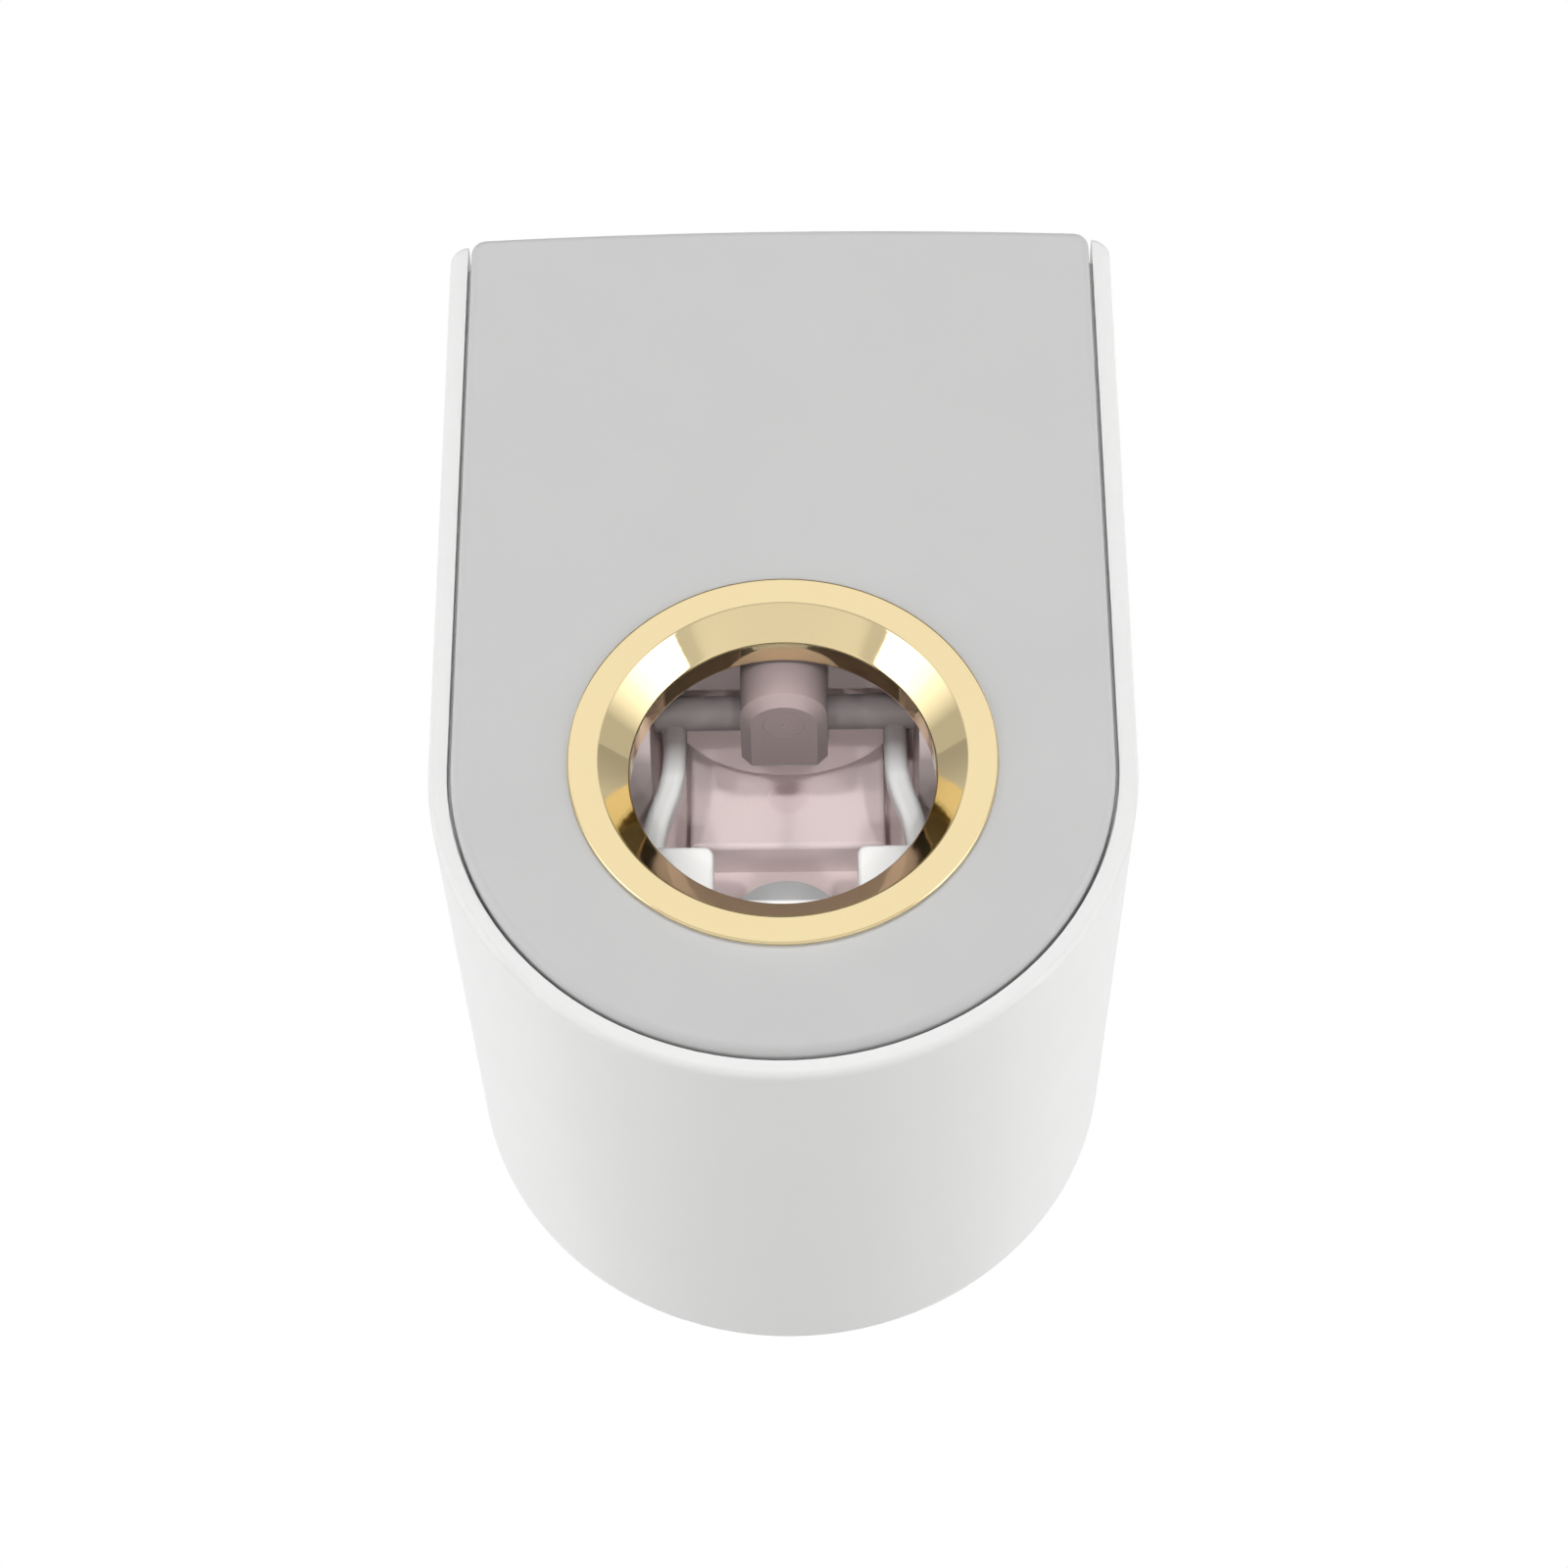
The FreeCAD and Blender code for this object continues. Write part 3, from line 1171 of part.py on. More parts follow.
doc.recompute()
for piece in doc.Objects:
    if "Invalid" in piece.State or "Error" in piece.State:
        raise RuntimeError(f"{piece.Name} did not build: {piece.State}")
os.makedirs("parts", exist_ok=True)
for piece in nodes:
    if piece.Shape.isNull() or not piece.Shape.isValid():
        raise RuntimeError(f"{piece.Label} has no valid shape")
    piece.Shape.exportStep(f"parts/{piece.Label}.step")
    box = piece.Shape.BoundBox
    print(f"{piece.Label:16s} solids {len(piece.Shape.Solids)} volume {piece.Shape.Volume:9.1f} "
          f"x {box.XMin:7.2f} {box.XMax:7.2f} y {box.YMin:7.2f} {box.YMax:7.2f} "
          f"z {box.ZMin:7.2f} {box.ZMax:7.2f}")
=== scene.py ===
import math

import bmesh
import bpy
from mathutils import Matrix, Vector


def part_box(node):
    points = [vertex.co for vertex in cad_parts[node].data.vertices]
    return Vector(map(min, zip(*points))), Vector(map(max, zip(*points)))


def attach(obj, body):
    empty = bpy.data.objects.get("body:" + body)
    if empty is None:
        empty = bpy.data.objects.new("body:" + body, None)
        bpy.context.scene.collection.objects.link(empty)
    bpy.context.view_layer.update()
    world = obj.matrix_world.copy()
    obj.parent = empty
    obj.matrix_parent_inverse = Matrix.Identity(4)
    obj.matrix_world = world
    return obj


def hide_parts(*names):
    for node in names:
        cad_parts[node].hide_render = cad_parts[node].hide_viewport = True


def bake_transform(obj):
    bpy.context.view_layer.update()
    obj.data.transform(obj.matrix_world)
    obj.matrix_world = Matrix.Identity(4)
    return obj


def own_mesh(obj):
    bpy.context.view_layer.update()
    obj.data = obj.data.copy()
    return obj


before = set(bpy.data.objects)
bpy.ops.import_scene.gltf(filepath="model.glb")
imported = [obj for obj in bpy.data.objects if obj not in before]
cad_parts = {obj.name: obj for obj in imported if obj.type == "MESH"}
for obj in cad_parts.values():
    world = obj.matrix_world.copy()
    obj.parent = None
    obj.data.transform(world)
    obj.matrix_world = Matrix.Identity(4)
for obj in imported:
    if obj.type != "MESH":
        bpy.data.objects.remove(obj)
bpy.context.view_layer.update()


# The wall bracket: a flat plate with four hooks, and the foam pad that sticks it to the tiles.
# The plate is injection moulded in white, with the fine dull skin that a spark-eroded mould leaves.
# The pad is closed-cell foam, cut a little smaller than the plate.
MM = 0.001
PIT_SHARE = 0.5
CLOUDS_PER_METRE = 90.0
SMUDGES_PER_METRE = 140.0
MIX_START = 6
MIX_END = 7
MIX_COLOUR = 2
PAD_CORNER = 2.0 * MM
PAD_EDGE = 0.2 * MM
CORNER_STEPS = 8
EDGE_STEPS = 4


def add_node(tree, kind, feeds=None, **settings):
    """A node with its settings, and each input either linked from a socket or set to a value."""
    node = tree.nodes.new(kind)
    for name, value in settings.items():
        setattr(node, name, value)
    for name, value in (feeds or {}).items():
        if isinstance(value, bpy.types.NodeSocket):
            tree.links.new(value, node.inputs[name])
        else:
            node.inputs[name].default_value = value
    return node


def colour_mix(tree, share, start, end):
    """A colour between two others, each a socket or a value."""
    feeds = {"Factor": share, MIX_START: start, MIX_END: end}
    return add_node(tree, "ShaderNodeMix", feeds, data_type="RGBA").outputs[MIX_COLOUR]


def new_effect(name, inputs, outputs):
    """An empty shader effect with named inputs and outputs."""
    effect = bpy.data.node_groups.new(name, "ShaderNodeTree")
    for label, kind in inputs.items():
        effect.interface.new_socket(label, in_out="INPUT", socket_type=f"NodeSocket{kind}")
    for label, kind in outputs.items():
        effect.interface.new_socket(label, in_out="OUTPUT", socket_type=f"NodeSocket{kind}")
    entry = add_node(effect, "NodeGroupInput")
    leave = add_node(effect, "NodeGroupOutput")
    return effect, entry.outputs, leave.inputs


mould_skin, given, result = new_effect(
    "mould_skin", {"Place": "Vector", "Grains per metre": "Float"}, {"Height": "Float"})
fine = add_node(
    mould_skin, "ShaderNodeTexNoise",
    {"Vector": given["Place"], "Scale": given["Grains per metre"], "Detail": 2.0, "Roughness": 0.6})
pits = add_node(
    mould_skin, "ShaderNodeTexVoronoi",
    {"Vector": given["Place"], "Scale": given["Grains per metre"], "Randomness": 1.0})
skin_height = add_node(
    mould_skin, "ShaderNodeMath", {0: pits.outputs["Distance"], 1: PIT_SHARE, 2: fine.outputs["Fac"]},
    operation="MULTIPLY_ADD")
mould_skin.links.new(skin_height.outputs[0], result["Height"])

handling, given, result = new_effect(
    "handling", {"Place": "Vector", "Smudges per metre": "Float", "Polished": "Float", "Dull": "Float"},
    {"Roughness": "Float"})
smudge = add_node(
    handling, "ShaderNodeTexNoise",
    {"Vector": given["Place"], "Scale": given["Smudges per metre"], "Detail": 4.0, "Roughness": 0.62})
spread = add_node(
    handling, "ShaderNodeMapRange",
    {"Value": smudge.outputs["Fac"], "From Min": 0.3, "From Max": 0.7,
     "To Min": given["Polished"], "To Max": given["Dull"]})
handling.links.new(spread.outputs["Result"], result["Roughness"])

resin_tone, given, result = new_effect(
    "resin_tone", {"Place": "Vector", "Clouds per metre": "Float", "Light": "Color", "Deep": "Color"},
    {"Colour": "Color"})
cloud = add_node(
    resin_tone, "ShaderNodeTexNoise",
    {"Vector": given["Place"], "Scale": given["Clouds per metre"], "Detail": 3.0, "Distortion": 0.4})
tone = colour_mix(resin_tone, cloud.outputs["Fac"], given["Deep"], given["Light"])
resin_tone.links.new(tone, result["Colour"])


def use_effect(tree, effect, place, **values):
    """Put a shared effect into a material, with its own values."""
    node = add_node(tree, "ShaderNodeGroup", node_tree=effect)
    tree.links.new(place, node.inputs["Place"])
    for name, value in values.items():
        node.inputs[name.replace("_", " ")].default_value = value
    return node


def moulded(name, light, deep, polished, dull, grain, depth):
    """A moulded piece's material: clouded colour, smudged gloss and a grained skin."""
    material = bpy.data.materials.new(name)
    material.use_nodes = True
    tree = material.node_tree
    shader = tree.nodes["Principled BSDF"]
    place = add_node(tree, "ShaderNodeTexCoord").outputs["Object"]
    colour = use_effect(tree, resin_tone, place, Clouds_per_metre=CLOUDS_PER_METRE,
                        Light=(*light, 1.0), Deep=(*deep, 1.0))
    gloss = use_effect(tree, handling, place, Smudges_per_metre=SMUDGES_PER_METRE,
                       Polished=polished, Dull=dull)
    skin = use_effect(tree, mould_skin, place, Grains_per_metre=grain)
    relief = add_node(tree, "ShaderNodeBump",
                      {"Height": skin.outputs["Height"], "Strength": 1.0, "Distance": depth})
    tree.links.new(colour.outputs["Colour"], shader.inputs["Base Color"])
    tree.links.new(gloss.outputs["Roughness"], shader.inputs["Roughness"])
    tree.links.new(relief.outputs["Normal"], shader.inputs["Normal"])
    return material


def finish(material, *names):
    """Give CAD nodes their material."""
    for name in names:
        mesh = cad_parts[name].data
        mesh.materials.clear()
        mesh.materials.append(material)


bracket_resin = moulded(
    "bracket_resin", light=(0.82, 0.82, 0.81), deep=(0.78, 0.78, 0.77),
    polished=0.36, dull=0.5, grain=2600.0, depth=0.02 * MM)
finish(bracket_resin, "wall_plate")
foam = moulded(
    "foam", light=(0.80, 0.80, 0.77), deep=(0.70, 0.70, 0.67),
    polished=0.85, dull=0.97, grain=1800.0, depth=0.2 * MM)


def pad_outline(half_width, half_height, corner):
    """The points of a rectangle with round corners, anticlockwise about its middle."""
    points = []
    for quarter, (side, end) in enumerate(((1, 1), (-1, 1), (-1, -1), (1, -1))):
        for step in range(CORNER_STEPS + 1):
            angle = (quarter + step / CORNER_STEPS) * math.pi / 2
            points.append((side * (half_width - corner) + corner * math.cos(angle),
                           end * (half_height - corner) + corner * math.sin(angle)))
    return points


low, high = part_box("adhesive_pad")
middle = (low + high) / 2
half_width = (high.x - low.x) / 2
half_height = (high.z - low.z) / 2
bend_angles = [step / EDGE_STEPS * math.pi / 2 for step in range(EDGE_STEPS + 1)]
bends = [(1.0 - math.sin(angle), 1.0 - math.cos(angle)) for angle in bend_angles]
levels = [(high.y - PAD_EDGE * rise, PAD_EDGE * inset) for inset, rise in bends]
levels += [(low.y + PAD_EDGE * rise, PAD_EDGE * inset) for inset, rise in reversed(bends)]
pad_mesh = bmesh.new()
rings = []
for depth, inset in levels:
    ring_points = pad_outline(half_width - inset, half_height - inset, PAD_CORNER - inset)
    rings.append([pad_mesh.verts.new((middle.x + x, depth, middle.z + z)) for x, z in ring_points])
for wall_side, front_side in zip(rings, rings[1:]):
    for i, corner in enumerate(wall_side):
        after = (i + 1) % len(wall_side)
        pad_mesh.faces.new((corner, wall_side[after], front_side[after], front_side[i]))
pad_mesh.faces.new(rings[0])
pad_mesh.faces.new(rings[-1])
bmesh.ops.recalc_face_normals(pad_mesh, faces=pad_mesh.faces)
foam_pad_mesh = bpy.data.meshes.new("foam_pad")
pad_mesh.to_mesh(foam_pad_mesh)
pad_mesh.free()
foam_pad_mesh.materials.append(foam)
foam_pad = bpy.data.objects.new("foam_pad", foam_pad_mesh)
bpy.context.scene.collection.objects.link(foam_pad)
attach(foam_pad, "wall_bracket")
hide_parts("adhesive_pad")


# The casing: a cup of glossy white resin with a half-round bottom, moulded in one piece.
# It is open at the front for the cover, and hangs by its back on the hooks of the bracket.
shell_resin = moulded(
    "shell_resin", light=(0.84, 0.84, 0.835), deep=(0.825, 0.825, 0.82),
    polished=0.29, dull=0.36, grain=700.0, depth=0.002 * MM)
finish(shell_resin, "shell")


# The chassis and the pump: pale rose resin, moulded, and screwed to the back of the casing.
# A round mark on the chassis, where the resin entered the mould, is darker than the panel round it.
# The nozzle is a darker rose than the rest: painted shade, standing in for the shade it sits in inside the
# casing.
ROSE = {"light": (0.86, 0.74, 0.73), "deep": (0.83, 0.71, 0.70),
        "polished": 0.29, "dull": 0.4, "grain": 1500.0, "depth": 0.006 * MM}
# A darker rose that is painted shade, used for the nozzle, the spout and the valve behind it.
PAINTED_SHADE_ROSE = {"light": (0.30, 0.24, 0.24), "deep": (0.28, 0.223, 0.223)}
GATE_AXIS = (0.0, 0.0, 8.55 * MM)
GATE_ACROSS = (1.0, 0.0, 1.0)
GATE_TINT = (0.78, 0.645, 0.655, 1.0)
GATE_START = 1.5 * MM
GATE_END = 2.3 * MM


def tint_or_paint_shade_near(material, axis, across, tint, start, end):
    """Tint a resin within start of an axis, fading to its own colour at end. On the trigger this tint is
    painted shade.
    """
    tree = material.node_tree
    base_colour = tree.nodes["Principled BSDF"].inputs["Base Color"]
    place = add_node(tree, "ShaderNodeTexCoord").outputs["Object"]
    from_axis = add_node(tree, "ShaderNodeVectorMath", {0: place, 1: axis}, operation="SUBTRACT")
    flat = add_node(tree, "ShaderNodeVectorMath", {0: from_axis.outputs["Vector"], 1: across},
                    operation="MULTIPLY")
    distance = add_node(tree, "ShaderNodeVectorMath", {0: flat.outputs["Vector"]}, operation="LENGTH")
    clear = add_node(tree, "ShaderNodeMapRange",
                     {"Value": distance.outputs["Value"], "From Min": start, "From Max": end})
    plain_colour = base_colour.links[0].from_socket
    tree.links.new(colour_mix(tree, clear.outputs["Result"], tint, plain_colour), base_colour)


rose_resin = moulded("rose_resin", **ROSE)
finish(rose_resin, "pump_body", "pump_base")
chassis_resin = moulded("chassis_resin", **ROSE)
tint_or_paint_shade_near(chassis_resin, GATE_AXIS, GATE_ACROSS, GATE_TINT, GATE_START, GATE_END)
finish(chassis_resin, "chassis")
# The nozzle's darker rose is painted shade.
nozzle_resin = moulded(
    "nozzle_resin", **PAINTED_SHADE_ROSE, polished=0.32, dull=0.42, grain=1500.0, depth=0.006 * MM)
finish(nozzle_resin, "outlet_nozzle")


# The soft pieces of the pump: diaphragm, valves, spout and the socket for the tube, moulded in silicone.
# The diaphragm is a thin hat over the plunger: its rim is clamped under the chamber and its crown rides up.
# The spout and the valve behind it are as dark as the nozzle that holds them: painted shade too.
LATHE_RADIUS = 0.05
ROUND_STEPS = 6
WELD_DISTANCE = 1e-6
PUMP_DEPTH = -29.32
RING_AXIS = -14.45
HAT_PROFILE = [(0, 30.1), (6.4, 30.1), (6.4, 28.0), (7.2, 26.5), (10.2, 26.5), (10.2, 27.3), (8.0, 27.3),
               (7.2, 28.8), (7.2, 30.9), (0, 30.9)]
HAT_ROUND = 0.2 * MM
HAT_SPACING = 0.2 * MM
HAT_SEGMENTS = 72
silicone = moulded(
    "silicone", light=(0.72, 0.72, 0.72), deep=(0.66, 0.66, 0.67),
    polished=0.38, dull=0.55, grain=900.0, depth=0.01 * MM)
finish(silicone, "inlet_valve", "inlet_seal")


def new_recipe(name, **inputs):
    """An empty geometry tree that takes and gives a mesh, with named inputs."""
    recipe = bpy.data.node_groups.new(name, "GeometryNodeTree")
    recipe.interface.new_socket("Geometry", in_out="INPUT", socket_type="NodeSocketGeometry")
    for label, kind in inputs.items():
        title = label.replace("_", " ")
        recipe.interface.new_socket(title, in_out="INPUT", socket_type=f"NodeSocket{kind}")
    recipe.interface.new_socket("Geometry", in_out="OUTPUT", socket_type="NodeSocketGeometry")
    entry = add_node(recipe, "NodeGroupInput")
    leave = add_node(recipe, "NodeGroupOutput")
    return recipe, entry.outputs, leave.inputs


def dress(recipe, mesh, material, leave):
    """End a recipe: its mesh made real and given its material."""
    real = add_node(recipe, "GeometryNodeRealizeInstances", {"Geometry": mesh})
    dressed = add_node(recipe, "GeometryNodeSetMaterial",
                       {"Geometry": real.outputs[0], "Material": material})
    recipe.links.new(dressed.outputs[0], leave["Geometry"])


def built(name, recipe, points, edges, **values):
    """A plain mesh object that the recipe makes from points and edges."""
    start = bpy.data.meshes.new(name)
    start.from_pydata(points, edges, [])
    piece = bpy.data.objects.new(name, start)
    bpy.context.scene.collection.objects.link(piece)
    maker = piece.modifiers.new(name, "NODES")
    maker.node_group = recipe
    for socket in recipe.interface.items_tree:
        label = socket.name.replace(" ", "_")
        if socket.in_out == "INPUT" and label in values:
            maker[socket.identifier] = values[label]
    ready = piece.evaluated_get(bpy.context.evaluated_depsgraph_get())
    piece.data = bpy.data.meshes.new_from_object(ready)
    piece.modifiers.remove(maker)
    return piece


turned, given, result = new_recipe(
    "turned", Corner_round="Float", Spacing="Float", Segments="Int",
    Place="Vector", Turn="Rotation", Material="Material")
outline = add_node(turned, "GeometryNodeMeshToCurve", {"Mesh": given["Geometry"]})
eased = add_node(
    turned, "GeometryNodeFilletCurve",
    {"Curve": outline.outputs[0], "Count": ROUND_STEPS, "Radius": given["Corner round"],
     "Limit Radius": True},
    mode="POLY")
evened = add_node(
    turned, "GeometryNodeResampleCurve", {"Curve": eased.outputs[0], "Length": given["Spacing"]},
    mode="LENGTH")
lathe = add_node(
    turned, "GeometryNodeCurvePrimitiveCircle", {"Resolution": given["Segments"], "Radius": LATHE_RADIUS})
swept = add_node(
    turned, "GeometryNodeCurveToMesh", {"Curve": lathe.outputs[0], "Profile Curve": evened.outputs[0]})
closed = add_node(
    turned, "GeometryNodeMergeByDistance", {"Geometry": swept.outputs[0], "Distance": WELD_DISTANCE})
outward = add_node(turned, "GeometryNodeFlipFaces", {"Mesh": closed.outputs[0]})
smooth = add_node(turned, "GeometryNodeSetShadeSmooth", {"Geometry": outward.outputs[0]})
placed = add_node(
    turned, "GeometryNodeTransform",
    {"Geometry": smooth.outputs[0], "Translation": given["Place"], "Rotation": given["Turn"]})
dress(turned, placed.outputs[0], given["Material"], result)


def turned_piece(name, profile, closed_profile, **values):
    """A piece turned about its axis from radii and heights in millimetres."""
    points = [(radius * MM - LATHE_RADIUS, -height * MM, 0.0) for radius, height in profile]
    count = len(points)
    edges = [(i, (i + 1) % count) for i in range(count if closed_profile else count - 1)]
    return built(name, turned, points, edges, **values)


hat = turned_piece(
    "diaphragm_hat", HAT_PROFILE, False, Corner_round=HAT_ROUND, Spacing=HAT_SPACING, Segments=HAT_SEGMENTS,
    Place=(0.0, PUMP_DEPTH * MM, RING_AXIS * MM), Material=silicone)
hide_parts("diaphragm")
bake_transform(hat)
# The dark colour of the spout and the valve is painted shade.
spout_silicone = moulded(
    "spout_silicone", **PAINTED_SHADE_ROSE, polished=0.55, dull=0.7, grain=900.0, depth=0.01 * MM)
finish(spout_silicone, "outlet_valve", "outlet_spout")


# The screws, the pin with its clips and the two springs: bright stainless steel with faint draw marks.
# The springs are wound from round wire; the screws have domed cross-slotted heads and coarse threads.
UPRIGHT = (0.0, 0.0, 0.0)
TO_FRONT = (math.pi / 2, 0.0, 0.0)
TO_WALL = (-math.pi / 2, 0.0, 0.0)
COIL_STEPS = 40
WIRE_SIDES = 12
RETURN_WIRE = 0.7 * MM
RETURN_TURNS = 9.0
PUMP_WIRE = 0.6 * MM
PUMP_TURNS = 4.0
HEAD_HEIGHT = 1.3 * MM
HEAD_SIDES = 40
DOME_SHARE = 1.9
SLOT_SHARE = 0.26
REACH_SHARE = 1.15
CORE_SHARE = 0.8
CORE_SIDES = 24
THREAD_PITCH = 0.8 * MM
THREAD_SIDES = 3
steel = moulded(
    "drawn_steel", light=(0.62, 0.61, 0.59), deep=(0.54, 0.53, 0.52),
    polished=0.17, dull=0.26, grain=5200.0, depth=0.003 * MM)
steel.node_tree.nodes["Principled BSDF"].inputs["Metallic"].default_value = 1.0
finish(steel, "pivot_pin", "pin_clips")

coil, given, result = new_recipe(
    "coil", Turns="Float", Radius="Float", Length="Float", Wire="Float",
    Place="Vector", Turn="Rotation", Material="Material")
helix = add_node(
    coil, "GeometryNodeCurveSpiral",
    {"Resolution": COIL_STEPS, "Rotations": given["Turns"], "Start Radius": given["Radius"],
     "End Radius": given["Radius"], "Height": given["Length"]})
wire = add_node(
    coil, "GeometryNodeCurvePrimitiveCircle", {"Resolution": WIRE_SIDES, "Radius": given["Wire"]})
drawn = add_node(
    coil, "GeometryNodeCurveToMesh",
    {"Curve": helix.outputs[0], "Profile Curve": wire.outputs[0], "Fill Caps": True})
smooth = add_node(coil, "GeometryNodeSetShadeSmooth", {"Geometry": drawn.outputs[0]})
placed = add_node(
    coil, "GeometryNodeTransform",
    {"Geometry": smooth.outputs[0], "Translation": given["Place"], "Rotation": given["Turn"]})
dress(coil, placed.outputs[0], given["Material"], result)

low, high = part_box("return_spring")
middle = (low + high) / 2
return_room = high.y - low.y
return_coil = built(
    "return_coil", coil, [], [], Turns=RETURN_TURNS, Radius=(high.x - low.x - RETURN_WIRE) / 2,
    Length=return_room - RETURN_WIRE, Wire=RETURN_WIRE / 2,
    Place=(0.0, low.y + RETURN_WIRE / 2, middle.z), Turn=TO_WALL, Material=steel)
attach(return_coil, "housing")
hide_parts("return_spring")
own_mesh(return_coil)

low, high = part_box("pump_spring")
middle = (low + high) / 2
pump_room = high.z - low.z
pump_coil = built(
    "pump_coil", coil, [], [], Turns=PUMP_TURNS, Radius=(high.x - low.x - PUMP_WIRE) / 2,
    Length=pump_room - PUMP_WIRE, Wire=PUMP_WIRE / 2,
    Place=(middle.x, middle.y, low.z + PUMP_WIRE / 2), Material=steel)
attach(pump_coil, "housing")
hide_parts("pump_spring")
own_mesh(pump_coil)


def figure(tree, operation, first, second):
    """A number worked out from two others, each a socket or a value."""
    return add_node(tree, "ShaderNodeMath", {0: first, 1: second}, operation=operation).outputs[0]


def moved(tree, mesh, height):
    """The mesh shifted along the screw."""
    shift = add_node(tree, "ShaderNodeCombineXYZ", {"Z": height})
    return add_node(tree, "GeometryNodeTransform",
                    {"Geometry": mesh, "Translation": shift.outputs[0]}).outputs[0]


screws, given, result = new_recipe(
    "screws", Shank_radius="Float", Shank_length="Float", Head_radius="Float",
    Head_height="Float", Turn="Rotation", Material="Material")
head_radius = given["Head radius"]
head_height = given["Head height"]
barrel = add_node(
    screws, "GeometryNodeMeshCylinder",
    {"Vertices": HEAD_SIDES, "Radius": head_radius, "Depth": head_height})
barrel = moved(screws, barrel.outputs["Mesh"], figure(screws, "MULTIPLY", head_height, 0.5))
dome_radius = figure(screws, "MULTIPLY", head_radius, DOME_SHARE)
dome = add_node(
    screws, "GeometryNodeMeshUVSphere",
    {"Segments": HEAD_SIDES, "Rings": HEAD_SIDES, "Radius": dome_radius})
dome = moved(screws, dome.outputs["Mesh"], figure(screws, "SUBTRACT", head_height, dome_radius))
pan = add_node(
    screws, "GeometryNodeMeshBoolean", {"Mesh 2": barrel}, operation="INTERSECT", solver="EXACT")
screws.links.new(dome, pan.inputs["Mesh 2"])
slot_width = figure(screws, "MULTIPLY", head_radius, SLOT_SHARE)
slot_reach = figure(screws, "MULTIPLY", head_radius, REACH_SHARE)
slots = []
for wide, deep in ((slot_reach, slot_width), (slot_width, slot_reach)):
    size = add_node(screws, "ShaderNodeCombineXYZ", {"X": wide, "Y": deep, "Z": head_height})
    slot = add_node(screws, "GeometryNodeMeshCube", {"Size": size.outputs[0]})
    slots.append(moved(screws, slot.outputs["Mesh"], head_height))
cross = add_node(
    screws, "GeometryNodeMeshBoolean", {"Mesh 1": pan.outputs["Mesh"], "Mesh 2": slots[0]},
    operation="DIFFERENCE", solver="EXACT")
screws.links.new(slots[1], cross.inputs["Mesh 2"])
shank_length = given["Shank length"]
core_radius = figure(screws, "MULTIPLY", given["Shank radius"], CORE_SHARE)
core = add_node(
    screws, "GeometryNodeMeshCylinder",
    {"Vertices": CORE_SIDES, "Radius": core_radius, "Depth": shank_length})
core = moved(screws, core.outputs["Mesh"], figure(screws, "MULTIPLY", shank_length, -0.5))
ridge = add_node(
    screws, "GeometryNodeCurveSpiral",
    {"Resolution": CORE_SIDES, "Rotations": figure(screws, "DIVIDE", shank_length, THREAD_PITCH),
     "Start Radius": core_radius, "End Radius": core_radius, "Height": shank_length})
flank = add_node(
    screws, "GeometryNodeCurvePrimitiveCircle",
    {"Resolution": THREAD_SIDES, "Radius": figure(screws, "SUBTRACT", given["Shank radius"], core_radius)})
thread = add_node(
    screws, "GeometryNodeCurveToMesh",
    {"Curve": ridge.outputs[0], "Profile Curve": flank.outputs[0], "Fill Caps": True})
thread = moved(screws, thread.outputs[0], figure(screws, "MULTIPLY", shank_length, -1.0))
screw = add_node(screws, "GeometryNodeJoinGeometry")
for part in (cross.outputs["Mesh"], core, thread):
    screws.links.new(part, screw.inputs[0])
seats = add_node(screws, "GeometryNodeMeshToPoints", {"Mesh": given["Geometry"]})
driven = add_node(
    screws, "GeometryNodeInstanceOnPoints",
    {"Points": seats.outputs[0], "Instance": screw.outputs[0], "Rotation": given["Turn"]})
dress(screws, driven.outputs[0], given["Material"], result)


def screw_row(name, turn, radius, length, head, places):
    """A set of equal screws, with sizes and places in millimetres."""
    row = built(
        f"{name}_row", screws, [tuple(part * MM for part in place) for place in places], [],
        Shank_radius=radius * MM, Shank_length=length * MM, Head_radius=head * MM,
        Head_height=HEAD_HEIGHT, Turn=turn, Material=steel)
    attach(row, "housing")
    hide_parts(name)


screw_row("chassis_screws", turn=TO_FRONT, radius=1.0, length=6.0, head=2.0,
          places=[(x, -10.4, z) for x in (-20.0, 20.0) for z in (-22.45, 26.55)])
screw_row("pump_screws", turn=UPRIGHT, radius=0.8, length=8.4, head=1.8,
          places=[(x, PUMP_DEPTH, 19.55) for x in (-15.85, 15.85)])
screw_row("nozzle_screws", turn=TO_FRONT, radius=0.8, length=6.0, head=1.8,
          places=[(x, -43.22, 22.95) for x in (-6.2, 6.2)])


# The trigger and the plunger: milky white resin, moulded, rounded where the brush meets it.
# The trigger hangs on the steel pin. Its resin is painted darker near the pin, on the bars and the tops of
# the arms: painted shade, for the shade they sit in inside the casing.
PIN_AXIS = (0.0, -39.02 * MM, 3.85 * MM)
PIN_ACROSS = (0.0, 1.0, 1.0)
# The colour of the painted shade near the pin, and the distances where it starts and ends.
PAINTED_PIN_SHADE = (0.24, 0.208, 0.208, 1.0)
PAINTED_SHADE_START = 3.5 * MM
PAINTED_SHADE_END = 7.5 * MM
trigger_resin = moulded(
    "trigger_resin", light=(0.80, 0.80, 0.795), deep=(0.78, 0.78, 0.775),
    polished=0.29, dull=0.4, grain=1700.0, depth=0.005 * MM)
# Painted shade: the trigger's colour darkens towards the pin.
tint_or_paint_shade_near(trigger_resin, PIN_AXIS, PIN_ACROSS, PAINTED_PIN_SHADE, PAINTED_SHADE_START, PAINTED_SHADE_END)
finish(trigger_resin, "trigger", "plunger")


